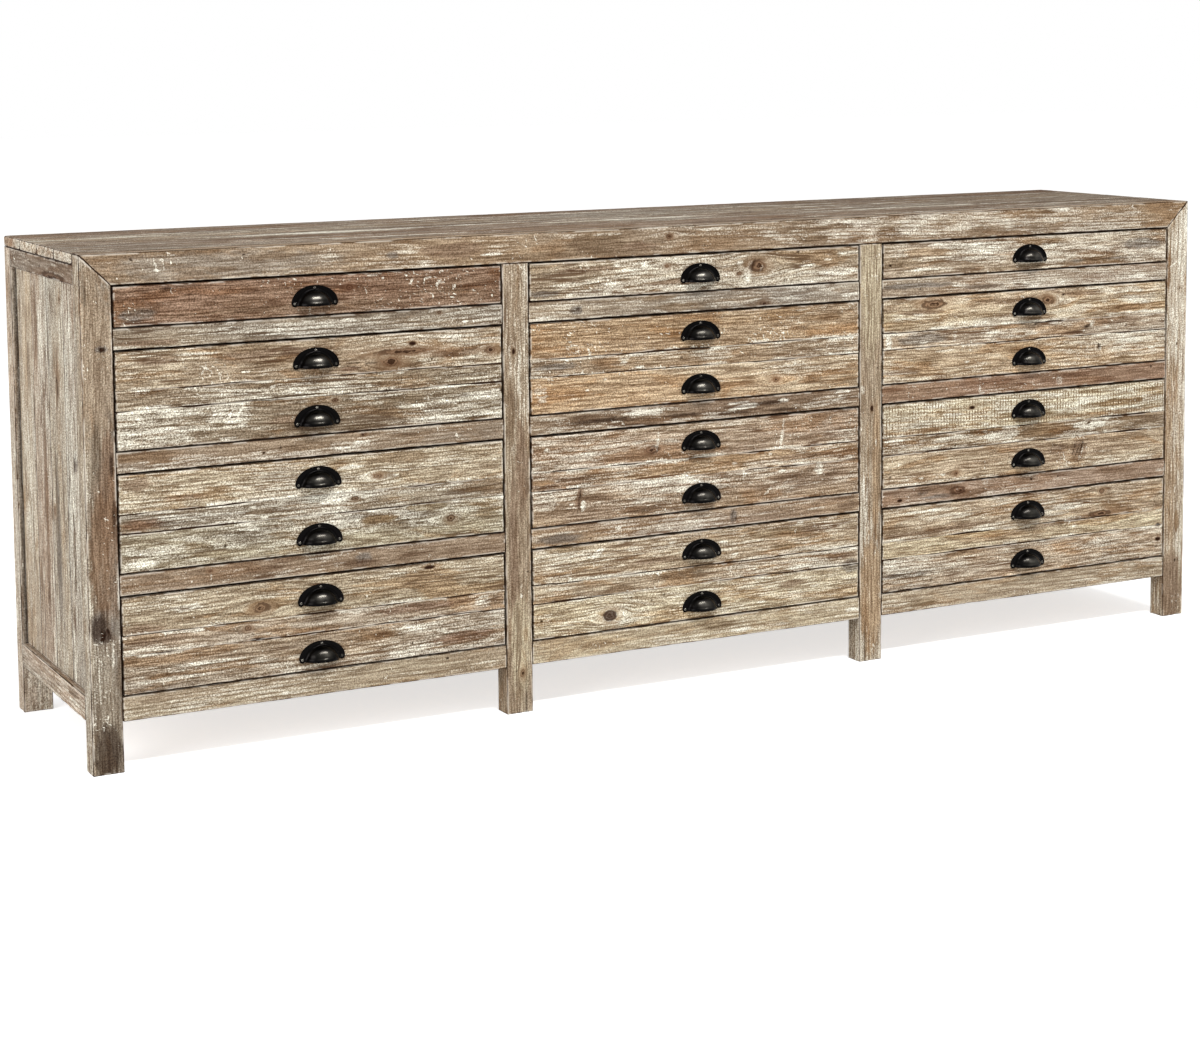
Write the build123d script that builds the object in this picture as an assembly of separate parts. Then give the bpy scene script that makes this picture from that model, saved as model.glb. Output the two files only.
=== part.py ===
"""A long apothecary chest of drawers in weathered wood, with inset drawers on wooden runners.

All sizes are in millimetres. X runs along the length, the drawers open towards -Y and Z is up.
The origin is on the floor, under the middle of the whole outline, cup pulls included.
"""
import os

from build123d import *

# Face frame, seen from the front
column_opening = 740.0
shallow_opening = 75.0
deep_opening = 177.0
outer_post_width = 56.0
centre_post_width = 54.0
top_rail_height = 55.0
drawer_rail_height = 38.0
bottom_rail_height = 45.0
foot_height = 90.0
frame_thickness = 41.0
foot_chamfer = 2.0

# Whole chest
overall_depth = 510.0
column_names = ["left", "centre", "right"]
row_names = ["top", "upper", "middle", "lower"]

# Top, sides and back
top_board_thickness = 20.0
top_board_count = 4
top_seam = 0.6
under_top_rail_height = 36.0
side_recess = 10.0
side_panel_thickness = 18.0
side_plank_count = 4
back_recess = 10.0
back_panel_thickness = 12.0
back_plank_count = 7
plank_chamfer = 1.5

# Inside the carcass
partition_thickness = 18.0
bottom_sheet_thickness = 12.0
bottom_sheet_lift = 10.0
runner_ledge = 15.0
guide_height = 22.0
stop_length = 19.0
stop_height = 25.0

# Drawer fronts
front_thickness = 20.0
front_side_gap = 2.5
front_top_gap = 2.5
front_bottom_gap = 1.5
middle_board_height = 35.0
board_chamfer = 1.2

# Drawer boxes
box_side_thickness = 12.0
box_bottom_thickness = 6.0
box_bottom_lift = 8.0
groove_depth = 6.0
box_head_room = 12.0
box_side_gap = 1.0
running_gap = 0.3

# Cup pulls
pull_width = 88.0
pull_height = 38.0
pull_projection = 24.0
ear_radius = 6.0
flange_thickness = 2.0
cup_width = 62.0
cup_height = 27.0
cup_wall = 1.8
mouth_lift = 2.0
lip_height = 2.5
lip_swell = 0.8
pull_screw_drop = 5.0

# Pull screws
head_radius = 2.8
head_height = 1.6
shank_radius = 1.5
screw_length = 15.0
screw_point = 3.0
slot_width = 0.8
slot_depth = 0.6
screw_gap = 0.05

# Sizes that follow from the values above
opening_heights = [shallow_opening] + [deep_opening] * (len(row_names) - 1)
column_pitch = column_opening + centre_post_width
overall_length = len(column_names) * column_pitch - centre_post_width + 2 * outer_post_width
drawer_stack = sum(opening_heights) + (len(row_names) - 1) * drawer_rail_height
overall_height = foot_height + bottom_rail_height + drawer_stack + top_rail_height
front_y = (pull_projection - overall_depth) / 2
back_y = front_y + overall_depth
inside_front_y = front_y + frame_thickness
inside_back_y = back_y - frame_thickness
left_x = -overall_length / 2
first_column_x = left_x + outer_post_width
side_rail_thickness = side_recess + side_panel_thickness
under_top_z = overall_height - top_board_thickness
under_rail_z = under_top_z - under_top_rail_height
bottom_rail_top = foot_height + bottom_rail_height
bottom_sheet_z = foot_height + bottom_sheet_lift
bottom_sheet_top = bottom_sheet_z + bottom_sheet_thickness
outer_guide_width = outer_post_width - side_rail_thickness
inner_guide_width = (centre_post_width - partition_thickness) / 2
box_front_y = front_y + front_thickness
box_back_y = inside_back_y - stop_length - running_gap


def block(low, high):
    """A rectangular solid between two opposite corners."""
    middle = [(a + b) / 2 for a, b in zip(low, high)]
    size = [b - a for a, b in zip(low, high)]
    return Pos(*middle) * Box(*size)


def column_left(column):
    """The left edge of a column's drawer openings."""
    return first_column_x + column * column_pitch


def row_levels():
    """The bottom and top of each drawer opening, from the top row down."""
    levels = []
    top = overall_height - top_rail_height
    for height in opening_heights:
        levels.append((top - height, top))
        top -= height + drawer_rail_height
    return levels


def foot_eased(post):
    """A post whose foot has its bottom edges chamfered."""
    return chamfer(post.edges().group_by(Axis.Z)[0], foot_chamfer)


def planks(start, stop, count, make_plank):
    """Equal planks side by side from start to stop, each made from its own two edges."""
    width = (stop - start) / count
    return [make_plank(start + i * width, start + (i + 1) * width) for i in range(count)]


# Face frame


def front_post_left():
    """The left outer post, mitred at its top to take the top rail."""
    post = block((left_x, front_y, 0), (first_column_x, inside_front_y, overall_height))
    mitre = Polyline(
        (left_x, overall_height),
        (first_column_x, overall_height),
        (first_column_x, overall_height - top_rail_height),
        close=True,
    )
    corner = extrude(Plane.XZ.offset(-inside_front_y) * make_face(mitre), frame_thickness)
    return foot_eased(post - corner)


def front_post_right():
    """The right outer post, the left one's mirror image."""
    return mirror(front_post_left(), Plane.YZ)


def centre_posts():
    """The posts between the columns, from the floor to the underside of the top rail."""
    posts = []
    for column in range(1, len(column_names)):
        right = column_left(column)
        left = right - centre_post_width
        top = overall_height - top_rail_height
        posts.append(foot_eased(block((left, front_y, 0), (right, inside_front_y, top))))
    return posts


def top_rail():
    """The top rail over all columns, mitred at both ends to the outer posts."""
    bottom = overall_height - top_rail_height
    outline = Polyline(
        (left_x, overall_height),
        (-left_x, overall_height),
        (-first_column_x, bottom),
        (first_column_x, bottom),
        close=True,
    )
    return extrude(Plane.XZ.offset(-inside_front_y) * make_face(outline), frame_thickness)


def front_rails(bottom, height):
    """One rail for each column, between the posts."""
    rails = []
    for column in range(len(column_names)):
        left = column_left(column)
        low = (left, front_y, bottom)
        rails.append(block(low, (left + column_opening, inside_front_y, bottom + height)))
    return rails


# Top, sides and back


def top_boards():
    """The boards of the top, behind the top rail and over the rear posts."""

    def top_board(front, back):
        low = (left_x, front, under_top_z)
        return block(low, (-left_x, back - top_seam, overall_height))

    return planks(inside_front_y, back_y + top_seam, top_board_count, top_board)


def rear_post_left():
    """The left rear post, under the top boards."""
    post = block((left_x, inside_back_y, 0), (first_column_x, back_y, under_top_z))
    return foot_eased(post)


def rear_post_right():
    """The right rear post, the left one's mirror image."""
    return mirror(rear_post_left(), Plane.YZ)


def rear_centre_posts():
    """The rear posts behind the centre posts, under the top boards."""
    posts = []
    for column in range(1, len(column_names)):
        right = column_left(column)
        low = (right - centre_post_width, inside_back_y, 0)
        posts.append(foot_eased(block(low, (right, back_y, under_top_z))))
    return posts


def rear_rails(bottom, top):
    """One rear rail for each column, between the rear posts."""
    rails = []
    for column in range(len(column_names)):
        left = column_left(column)
        rails.append(block((left, inside_back_y, bottom), (left + column_opening, back_y, top)))
    return rails


def side_rails(bottom, top):
    """A rail on each side, between the front and the rear post."""
    low = (left_x, inside_front_y, bottom)
    left = block(low, (left_x + side_rail_thickness, inside_back_y, top))
    return [left, mirror(left, Plane.YZ)]


def side_panel_left():
    """The upright planks of the left side, set in from the posts' outer face."""
    outer = left_x + side_recess
    inner = outer + side_panel_thickness

    def side_plank(front, back):
        plank = block((outer, front, bottom_rail_top), (inner, back, under_rail_z))
        outer_edges = plank.edges().filter_by(Axis.Z).group_by(Axis.X)[0]
        return chamfer(outer_edges, plank_chamfer)

    return planks(inside_front_y, inside_back_y, side_plank_count, side_plank)


def side_panel_right():
    """The right side's planks, the left ones' mirror image."""
    return [mirror(plank, Plane.YZ) for plank in side_panel_left()]


def back_panels():
    """The upright planks that close the back of each column."""
    outer = back_y - back_recess
    inner = outer - back_panel_thickness

    def back_plank(left, right):
        plank = block((left, inner, bottom_rail_top), (right, outer, under_rail_z))
        outer_edges = plank.edges().filter_by(Axis.Z).group_by(Axis.Y)[-1]
        return chamfer(outer_edges, plank_chamfer)

    made = []
    for column in range(len(column_names)):
        left = column_left(column)
        made += planks(left, left + column_opening, back_plank_count, back_plank)
    return made


# Inside the carcass


def partitions():
    """The upright panels between the columns, behind the centre posts."""
    made = []
    for column in range(1, len(column_names)):
        middle = column_left(column) - centre_post_width / 2
        low = (middle - partition_thickness / 2, inside_front_y, bottom_sheet_z)
        made.append(block(low, (middle + partition_thickness / 2, inside_back_y, under_top_z)))
    return made


def guide_widths(column):
    """How far the wall on a column's left and right stands back from its openings."""
    left = outer_guide_width if column == 0 else inner_guide_width
    right = outer_guide_width if column == len(column_names) - 1 else inner_guide_width
    return left, right


def bottom_sheets():
    """The sheets that close the carcass below the lowest drawers."""
    sheets = []
    for column in range(len(column_names)):
        left_back, right_back = guide_widths(column)
        left = column_left(column) - left_back
        right = column_left(column) + column_opening + right_back
        low = (left, inside_front_y, bottom_sheet_z)
        sheets.append(block(low, (right, inside_back_y, bottom_sheet_top)))
    return sheets


def beside_openings(make_bar):
    """A bar on each side of each column, made from its wall, its opening's edge and the way in."""
    bars = []
    for column in range(len(column_names)):
        left_back, right_back = guide_widths(column)
        left = column_left(column)
        right = left + column_opening
        bars.append(make_bar(left - left_back, left, 1))
        bars.append(make_bar(right + right_back, right, -1))
    return bars


def bar_between(x_one, x_two, y_range, z_range):
    """A rectangular bar between two X positions in either order."""
    low = (min(x_one, x_two), y_range[0], z_range[0])
    return block(low, (max(x_one, x_two), y_range[1], z_range[1]))


def drawer_runners():
    """The bars that the drawer sides slide on, and those that keep the top drawers from tipping."""
    inside = (inside_front_y, inside_back_y)
    rail_gaps = [(overall_height - top_rail_height, under_top_z)]
    for row, (bottom, _) in enumerate(row_levels()):
        lowest = row == len(row_names) - 1
        rail_gaps.append((bottom_sheet_top if lowest else bottom - drawer_rail_height, bottom))
    runners = []
    for z_range in rail_gaps:

        def runner(wall, edge, way, z_range=z_range):
            return bar_between(wall, edge + way * runner_ledge, inside, z_range)

        runners += beside_openings(runner)
    return runners


def drawer_guides():
    """The strips on the runners that keep the drawers from moving sideways."""
    inside = (inside_front_y, inside_back_y)
    guides = []
    for bottom, _ in row_levels():

        def guide(wall, edge, way, bottom=bottom):
            return bar_between(wall, edge, inside, (bottom, bottom + guide_height))

        guides += beside_openings(guide)
    return guides


def drawer_stops():
    """The blocks at the runners' rear ends, where a closed drawer's sides come to rest."""
    behind = (inside_back_y - stop_length, inside_back_y)
    stops = []
    for bottom, _ in row_levels():

        def stop(wall, edge, way, bottom=bottom):
            return bar_between(edge, edge + way * runner_ledge, behind, (bottom, bottom + stop_height))

        stops += beside_openings(stop)
    return stops


# Drawers


def board_levels(row):
    """The bottom and top of each board of a drawer front in this row, from the top board down."""
    opening_bottom, opening_top = row_levels()[row]
    bottom = opening_bottom + front_bottom_gap
    top = opening_top - front_top_gap
    if row == 0:
        return [(bottom, top)]
    outer_height = (top - bottom - middle_board_height) / 2
    return [(top - outer_height, top), (bottom + outer_height, top - outer_height),
            (bottom, bottom + outer_height)]


def pull_levels(row):
    """The height of each pull's lowest point: in the middle of every board wide enough for one."""
    return [(low + high - pull_height) / 2 for low, high in board_levels(row)
            if high - low > pull_height]


def pull_ears():
    """The centres of a pull's two ears, as X and Z from its lowest point."""
    ear_x = pull_width / 2 - ear_radius
    return [(-ear_x, ear_radius), (ear_x, ear_radius)]


def pull_holes():
    """Where the screws pass through a pull: its ears and the middle of its top edge."""
    return pull_ears() + [(0, pull_height - pull_screw_drop)]


def screw_places(column, row):
    """Where each pull screw of a drawer enters its front, as X and Z."""
    middle = column_left(column) + column_opening / 2
    return [(middle + x, bottom + z) for bottom in pull_levels(row) for x, z in pull_holes()]


def cylinder_along_y(x, z, y_start, y_end, radius):
    """A round bar along Y, centred on X and Z."""
    middle = Pos(x, (y_start + y_end) / 2, z)
    return middle * Rot(90, 0, 0) * Cylinder(radius, abs(y_end - y_start))


def drawer_front(column, row):
    """The boards of one drawer front, with a V groove where two meet and pilot holes for screws."""
    left = column_left(column) + front_side_gap
    right = column_left(column) + column_opening - front_side_gap
    levels = board_levels(row)
    hole_end = front_y - flange_thickness + screw_length + screw_gap
    boards = []
    for number, (bottom, top) in enumerate(levels):
        board = block((left, front_y, bottom), (right, box_front_y, top))
        long_edges = board.edges().filter_by(Axis.X).group_by(Axis.Y)[0].sort_by(Axis.Z)
        if number < len(levels) - 1:
            board = chamfer(long_edges[0], board_chamfer)
            long_edges = board.edges().filter_by(Axis.X).group_by(Axis.Y)[0].sort_by(Axis.Z)
        if number > 0:
            board = chamfer(long_edges[-1], board_chamfer)
        for x, z in screw_places(column, row):
            if bottom < z < top:
                board -= cylinder_along_y(x, z, front_y, hole_end, shank_radius + screw_gap)
        boards.append(board)
    return boards


def drawer_box(column, row):
    """One drawer's box: two sides, an inner front and a back round a bottom panel in grooves."""
    opening_bottom, opening_top = row_levels()[row]
    left = column_left(column) + box_side_gap
    right = column_left(column) + column_opening - box_side_gap
    inner_left = left + box_side_thickness
    inner_right = right - box_side_thickness
    bottom = opening_bottom + running_gap
    top = opening_top - box_head_room
    panel_z = bottom + box_bottom_lift
    panel_top = panel_z + box_bottom_thickness
    inner_front_y = box_front_y + box_side_thickness
    inner_back_y = box_back_y - box_side_thickness
    panel = block(
        (inner_left - groove_depth, inner_front_y - groove_depth, panel_z),
        (inner_right + groove_depth, box_back_y, panel_top),
    )
    side_left = block((left, box_front_y, bottom), (inner_left, box_back_y, top)) - panel
    side_right = block((inner_right, box_front_y, bottom), (right, box_back_y, top)) - panel
    inner_front = block((inner_left, box_front_y, bottom), (inner_right, inner_front_y, top)) - panel
    back = block((inner_left, inner_back_y, panel_top), (inner_right, box_back_y, top))
    return [side_left, side_right, inner_front, back, panel]


def half_moon(half_width, height, base):
    """The upper half of an ellipse that stands on a base line."""
    lower = Pos(0, -height / 2) * Rectangle(2 * half_width, height)
    return Pos(0, base) * (Ellipse(half_width, height) - lower)


def bowl(half_width, projection, height):
    """An ellipsoid round the middle of the cup's mouth."""
    return Pos(0, 0, mouth_lift) * scale(Sphere(1), by=(half_width, projection, height))


def cup_pull():
    """A cup pull, its lowest point at Z 0 and its back on the plane Y 0."""
    between_ears = Rectangle(pull_width - 2 * ear_radius, ear_radius - mouth_lift)
    outline = half_moon(pull_width / 2, pull_height - ear_radius, ear_radius)
    outline += Pos(0, (ear_radius + mouth_lift) / 2) * between_ears
    for x, z in pull_ears():
        outline += Pos(x, z) * Circle(ear_radius)
    flange = extrude(Plane.XZ * outline, flange_thickness)
    cup_projection = pull_projection - lip_swell
    above_mouth = block((-pull_width, -pull_projection, mouth_lift), (pull_width, 0, pull_height))
    cup = bowl(cup_width / 2, cup_projection, cup_height) & above_mouth
    lip_outline = Ellipse(cup_width / 2 + lip_swell, pull_projection)
    lip = Pos(0, 0, mouth_lift) * extrude(lip_outline, lip_height) & above_mouth
    hollow = bowl(cup_width / 2 - cup_wall, cup_projection - cup_wall, cup_height - cup_wall)
    pull = flange + cup + lip - hollow
    for x, z in pull_holes():
        pull -= cylinder_along_y(x, z, -flange_thickness, 0, shank_radius + screw_gap)
    return pull


def pull_screw():
    """A slotted screw with a domed head, its point along +Y and its head resting on the plane Y 0."""
    dome = (head_radius**2 + head_height**2) / (2 * head_height)
    head = Pos(0, dome - head_height, 0) * Sphere(dome)
    head &= block((-dome, -dome, -dome), (dome, 0, dome))
    head -= block((-dome, -dome, -slot_width / 2), (dome, slot_depth - head_height, slot_width / 2))
    shank_end = screw_length - screw_point
    shank = cylinder_along_y(0, 0, 0, shank_end, shank_radius)
    point = Pos(0, shank_end + screw_point / 2, 0) * Rot(-90, 0, 0) * Cone(shank_radius, 0, screw_point)
    return head + shank + point


def drawer_pulls(column, row, pull, screw):
    """One drawer's cup pulls and the screws that hold them."""
    middle = column_left(column) + column_opening / 2
    made = [Pos(middle, front_y, bottom) * pull for bottom in pull_levels(row)]
    for x, z in screw_places(column, row):
        made.append(Pos(x, front_y - flange_thickness, z) * screw)
    return made


# The whole chest


def carcass():
    """Every fixed sub-part, by name."""
    levels = row_levels()
    top_of_rails = [bottom for bottom, _ in levels]
    return {
        "front_post_left": [front_post_left()],
        "front_post_right": [front_post_right()],
        "centre_posts": centre_posts(),
        "top_rail": [top_rail()],
        "drawer_rails_upper": front_rails(top_of_rails[0] - drawer_rail_height, drawer_rail_height),
        "drawer_rails_middle": front_rails(top_of_rails[1] - drawer_rail_height, drawer_rail_height),
        "drawer_rails_lower": front_rails(top_of_rails[2] - drawer_rail_height, drawer_rail_height),
        "bottom_rails": front_rails(foot_height, bottom_rail_height),
        "top_boards": top_boards(),
        "rear_post_left": [rear_post_left()],
        "rear_post_right": [rear_post_right()],
        "rear_centre_posts": rear_centre_posts(),
        "rear_top_rails": rear_rails(under_rail_z, under_top_z),
        "rear_bottom_rails": rear_rails(foot_height, bottom_rail_top),
        "side_top_rails": side_rails(under_rail_z, under_top_z),
        "side_bottom_rails": side_rails(foot_height, bottom_rail_top),
        "side_panel_left": side_panel_left(),
        "side_panel_right": side_panel_right(),
        "back_panels": back_panels(),
        "partitions": partitions(),
        "bottom_sheets": bottom_sheets(),
        "drawer_runners": drawer_runners(),
        "drawer_guides": drawer_guides(),
        "drawer_stops": drawer_stops(),
    }


def drawers():
    """Every drawer's sub-parts, by name."""
    pull = cup_pull()
    screw = pull_screw()
    made = {}
    for column, column_name in enumerate(column_names):
        for row, row_name in enumerate(row_names):
            drawer = f"drawer_{column_name}_{row_name}"
            made[drawer + "_front"] = drawer_front(column, row)
            made[drawer + "_box"] = drawer_box(column, row)
            made[drawer + "_pulls"] = drawer_pulls(column, row, pull, screw)
    return made


def main():
    os.makedirs("parts", exist_ok=True)
    for name, pieces in {**carcass(), **drawers()}.items():
        solids = [solid for piece in pieces for solid in piece.solids()]
        export_step(Compound(children=solids), f"parts/{name}.step")


main()
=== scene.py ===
"""Dresses a long apothecary chest: weathered boards, plain drawer boxes, dark cup pulls and a pale stage.

X runs along the chest, the drawers open towards -Y and Z is up. Lengths are in metres, and names that end
in _mm hold millimetres. A board has directions of its own: along its grain, across it, and deep into it.
"""
import itertools
import math
from collections import namedtuple

import bmesh
import bpy
import numpy as np
from bpy.props import FloatProperty, FloatVectorProperty, IntProperty, PointerProperty
from mathutils import Matrix, Vector


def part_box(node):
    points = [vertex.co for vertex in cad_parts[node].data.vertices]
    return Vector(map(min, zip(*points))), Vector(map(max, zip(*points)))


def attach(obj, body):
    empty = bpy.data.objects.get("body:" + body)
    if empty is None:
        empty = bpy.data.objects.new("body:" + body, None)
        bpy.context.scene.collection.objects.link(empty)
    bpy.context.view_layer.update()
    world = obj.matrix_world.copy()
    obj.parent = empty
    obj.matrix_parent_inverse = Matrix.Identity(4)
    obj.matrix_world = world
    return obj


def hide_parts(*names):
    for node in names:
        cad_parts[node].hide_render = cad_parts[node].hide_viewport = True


bl_info = {
    "name": "Apothecary chest",
    "version": (1, 0, 0),
    "blender": (4, 5, 0),
    "location": "3D View > Sidebar > Chest",
    "description": "Dresses a long chest of drawers in weathered, whitewashed pine with dark cup pulls",
    "category": "Add Mesh",
}

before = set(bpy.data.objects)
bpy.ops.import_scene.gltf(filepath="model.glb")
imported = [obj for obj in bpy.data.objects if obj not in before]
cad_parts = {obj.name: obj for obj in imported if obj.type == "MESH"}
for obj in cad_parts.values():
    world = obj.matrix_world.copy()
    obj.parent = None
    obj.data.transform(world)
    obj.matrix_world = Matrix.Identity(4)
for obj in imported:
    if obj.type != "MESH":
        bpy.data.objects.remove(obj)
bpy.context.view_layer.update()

COLUMNS = ("left", "centre", "right")
ROWS = ("top", "upper", "middle", "lower")
X, Y, Z = 0, 1, 2
MM = 0.001


def paint(red, green, blue):
    """A colour written as it shows on a screen, from 0 to 255, as Blender's linear colour."""
    shares = [c / 255 for c in (red, green, blue)]
    return tuple(c / 12.92 if c <= 0.04045 else ((c + 0.055) / 1.055) ** 2.4 for c in shares)


def length(name, millimetres, description):
    """A size that the sidebar shows as a length."""
    return FloatProperty(name=name, description=description, default=millimetres * MM,
                         min=0.0, precision=5, unit="LENGTH", subtype="DISTANCE")


def colour(name, rgb, description):
    """A colour that the sidebar shows as a swatch."""
    return FloatVectorProperty(name=name, description=description, default=paint(*rgb),
                               size=3, min=0.0, max=1.0, subtype="COLOR")


def share(name, value, description, top=1.0):
    """A plain number from 0 up."""
    return FloatProperty(name=name, description=description, default=value,
                         min=0.0, max=top, subtype="FACTOR")


# What a user may change


class ChestBoardSizes(bpy.types.PropertyGroup):
    """How finely the boards are modelled, and how worn they are"""

    front_step: length("Front grid", 2.3, "Distance between grid lines on the boards of the front")
    wide_step: length("Wide grid", 4.8, "Distance between grid lines on the top and the sides")
    plain_step: length("Plain grid", 8.5, "Distance between grid lines on the boards of the back")
    grain_stretch: share("Grain stretch", 1.3, "How much longer the grid's cells are along the grain", 4)
    edge_radius: length("Worn edge", 1.0, "Least radius of a worn edge")
    edge_wear: length("Edge wear", 1.5, "How much larger that radius gets where an edge is most worn")
    relief: length("Relief", 0.35, "Depth of the hollows in a worn face")
    knot_relief: length("Knot relief", 0.7, "Depth of the groove round a knot")
    dent_depth: length("Dents", 0.9, "Depth of the deepest dents")
    side_gap: length("Front gap", 2.5, "Gap beside a drawer front")
    middle_board: length("Middle board", 35.0, "Height of the middle board of a deep drawer front")
    top_seam: length("Top seam", 0.6, "Gap between two boards of the top")


class ChestWoodColours(bpy.types.PropertyGroup):
    """The tones of the old boards, the paint left on them and the plain wood inside"""

    russet: colour("Russet", (120, 94, 78), "Reddish brown boards")
    umber: colour("Umber", (123, 101, 84), "Dark brown boards")
    tan: colour("Tan", (145, 126, 107), "Middle brown boards")
    honey: colour("Honey", (158, 133, 107), "Warm orange boards")
    sand: colour("Sand", (157, 141, 122), "Light boards")
    cream: colour("Cream", (174, 160, 137), "Light, yellowish boards")
    grey: colour("Grey", (136, 125, 114), "Greyed boards")
    pink: colour("Pink", (150, 130, 114), "Pinkish boards")
    khaki: colour("Khaki", (155, 140, 120), "Greenish tan boards")
    # Soot also colours the line of dirt and painted shade along the boards' edges and joints
    soot: colour("Soot", (42, 23, 10), "Dark knots, cracks and stains")
    ash: colour("Ash", (112, 104, 98), "Grey stains")
    whitewash: colour("Whitewash", (223, 216, 202), "Paint left in the grain")
    plain: colour("Plain pine", (205, 176, 134), "Wood of the drawer boxes")
    sawn: colour("Sawn wood", (176, 148, 112), "Wood inside the carcass")
    metal: colour("Pull metal", (13, 12, 12), "Dark metal of the cup pulls")


class ChestPullSizes(bpy.types.PropertyGroup):
    """The cup pulls and their screws"""

    ear_radius: length("Ear radius", 6.0, "Radius of the two ears that hold a screw")
    flange: length("Flange", 2.0, "Thickness of the plate round the cup")
    cup_width: length("Cup width", 62.0, "Width of the cup where it meets the plate")
    cup_height: length("Cup height", 27.0, "Height of the cup above its mouth")
    wall: length("Wall", 1.8, "Thickness of the cup's wall")
    mouth_lift: length("Mouth lift", 2.0, "Height of the mouth above the ears' lowest point")
    lip_height: length("Lip height", 7.0, "Height of the rolled lip")
    lip_swell: length("Lip swell", 1.5, "How far the lip stands out from the cup")
    lip_slope: length("Lip slope", 2.4, "Height of the lip's sloping shoulder")
    screw_drop: length("Top screw", 5.0, "Distance of the top screw from the pull's upper edge")
    head_radius: length("Screw head", 2.8, "Radius of a screw's head")
    head_height: length("Head height", 1.6, "Height of a screw's head")
    slot_width: length("Slot width", 0.8, "Width of a screw's slot")
    slot_depth: length("Slot depth", 0.6, "Depth of a screw's slot")
    shank_radius: length("Shank", 1.5, "Radius of a screw's shank")
    screw_length: length("Screw length", 15.0, "Length of a screw below its head")
    seed: IntProperty(name="Screw seed", description="Which way each screw's slot ends up", default=7, min=0)


class ChestStageSettings(bpy.types.PropertyGroup):
    """The camera, the lamps and the floor"""

    camera_place: FloatVectorProperty(name="Camera", description="Where the camera stands", size=3,
                                      default=(-2.3334, -4.2805, 1.2562), subtype="TRANSLATION",
                                      unit="LENGTH")
    yaw: FloatProperty(name="Yaw", description="How far the camera looks to the right of the chest's depth",
                       default=0.48244, subtype="ANGLE", unit="ROTATION")
    pitch: FloatProperty(name="Pitch", description="How far the camera looks up",
                         default=-0.09709, subtype="ANGLE", unit="ROTATION")
    roll: FloatProperty(name="Roll", description="How far the camera is turned about its own axis",
                        default=-0.00909, subtype="ANGLE", unit="ROTATION")
    lens: FloatProperty(name="Lens", description="Focal length in millimetres on a 36 mm sensor",
                        default=72.53, min=1.0, unit="CAMERA")
    shift: FloatProperty(name="Shift", description="Vertical lens shift, as a share of the sensor's width",
                         default=-0.2)
    floor_size: length("Floor", 60000, "Side of the floor")
    floor_glow: share("Floor glow", 0.66, "White that the camera sees on the floor besides the lamps' light")
    sky: share("Sky", 0.46, "Strength of the even light from all round", 10)
    key: FloatProperty(name="Key lamp", description="Power of the wide lamp high up in front", default=250.0,
                       min=0.0, unit="POWER")
    fill: FloatProperty(name="Fill lamp", description="Power of the large lamp on the left", default=130.0,
                        min=0.0, unit="POWER")


def settings(name):
    """One of the chest's property groups."""
    return getattr(bpy.context.scene, "chest_" + name)


# Soft noise for shapes and tones


def hashed(cells, seed):
    """A repeatable number from 0 to 1 for each whole-numbered cell."""
    x, y, z = cells.T
    mixed = x * 374761393 + y * 668265263 + z * 1440662683 + seed * 974711
    mixed = (mixed ^ (mixed >> 13)) * 1274126177
    mixed ^= mixed >> 16
    return (mixed & 0xFFFFFF) / 0xFFFFFF


def smooth_noise(points, seed):
    """Soft noise from -1 to 1, with about one bump in each unit of length."""
    cells = np.floor(points).astype(np.int64)
    part = points - cells
    part = part * part * (3 - 2 * part)
    total = np.zeros(len(points))
    for corner in itertools.product((0, 1), repeat=3):
        weight = np.prod(np.where(corner, part, 1 - part), axis=1)
        total += weight * hashed(cells + np.array(corner), seed)
    return 2 * total - 1


def ramp(values, low, high):
    """0 at low, 1 at high and an S-shaped rise between them. low may be the higher one."""
    part = np.clip((values - low) / (high - low), 0, 1)
    return part * part * (3 - 2 * part)

# Boards

# What a board looks like: two tones, the share of the second, the whitewash left, how strongly it is
# streaked, its white flecks, how flat its grain was sawn, from 0, upright rings, to 1, broad arches, and
# how light it is beside its tones.
Look = namedtuple("Look", "tone second share wash streak fleck arch level",
                  defaults=(0.45, 0.5, 0.3, 0.5, 1.0))

# One mark on a board's face: its kind, its middle along and across the board, its half length and half
# width, all in millimetres, and its tilt in degrees. Its kind is a key of one of the three tables below,
# a knot, flecks, a stain, or one of the wood colours.
Mark = namedtuple("Mark", "kind along across half_length half_width tilt", defaults=(0,))

# Where a board's directions lie: the axes of its grain, its width and its thickness, and the sign of the
# side that shows.
Lie = namedtuple("Lie", "along across deep side")
FRONT_LYING = Lie(X, Z, Y, -1)
FRONT_UPRIGHT = Lie(Z, X, Y, -1)
REAR_LYING = Lie(X, Z, Y, 1)
REAR_UPRIGHT = Lie(Z, X, Y, 1)
TOP_LYING = Lie(X, Y, Z, 1)
SIDE_LYING = {-1: Lie(Y, Z, X, -1), 1: Lie(Y, Z, X, 1)}
SIDE_UPRIGHT = {-1: Lie(Z, Y, X, -1), 1: Lie(Z, Y, X, 1)}

# Marks that only leave more whitewash, with how much
PAINT_MARKS = {"chip": 0.8, "white": 0.5, "faded": 0.2}
# Dark marks: their colour, how strongly it covers, and how much whitewash it takes away
DARK_MARKS = {"pin": ("soot", 1, 1), "crack": ("soot", 0.85, 1.5)}
STAIN_COVER, STAIN_RUBS_OFF = 0.75, 0.35
STAIN = (0.62, 0.55, 0.48)
# Knots that are inked all over: their colour and what they add to the whitewash
INKED_KNOTS = {"black_knot": ("soot", -0.6), "grey_knot": ("ash", 0.1)}
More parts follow.
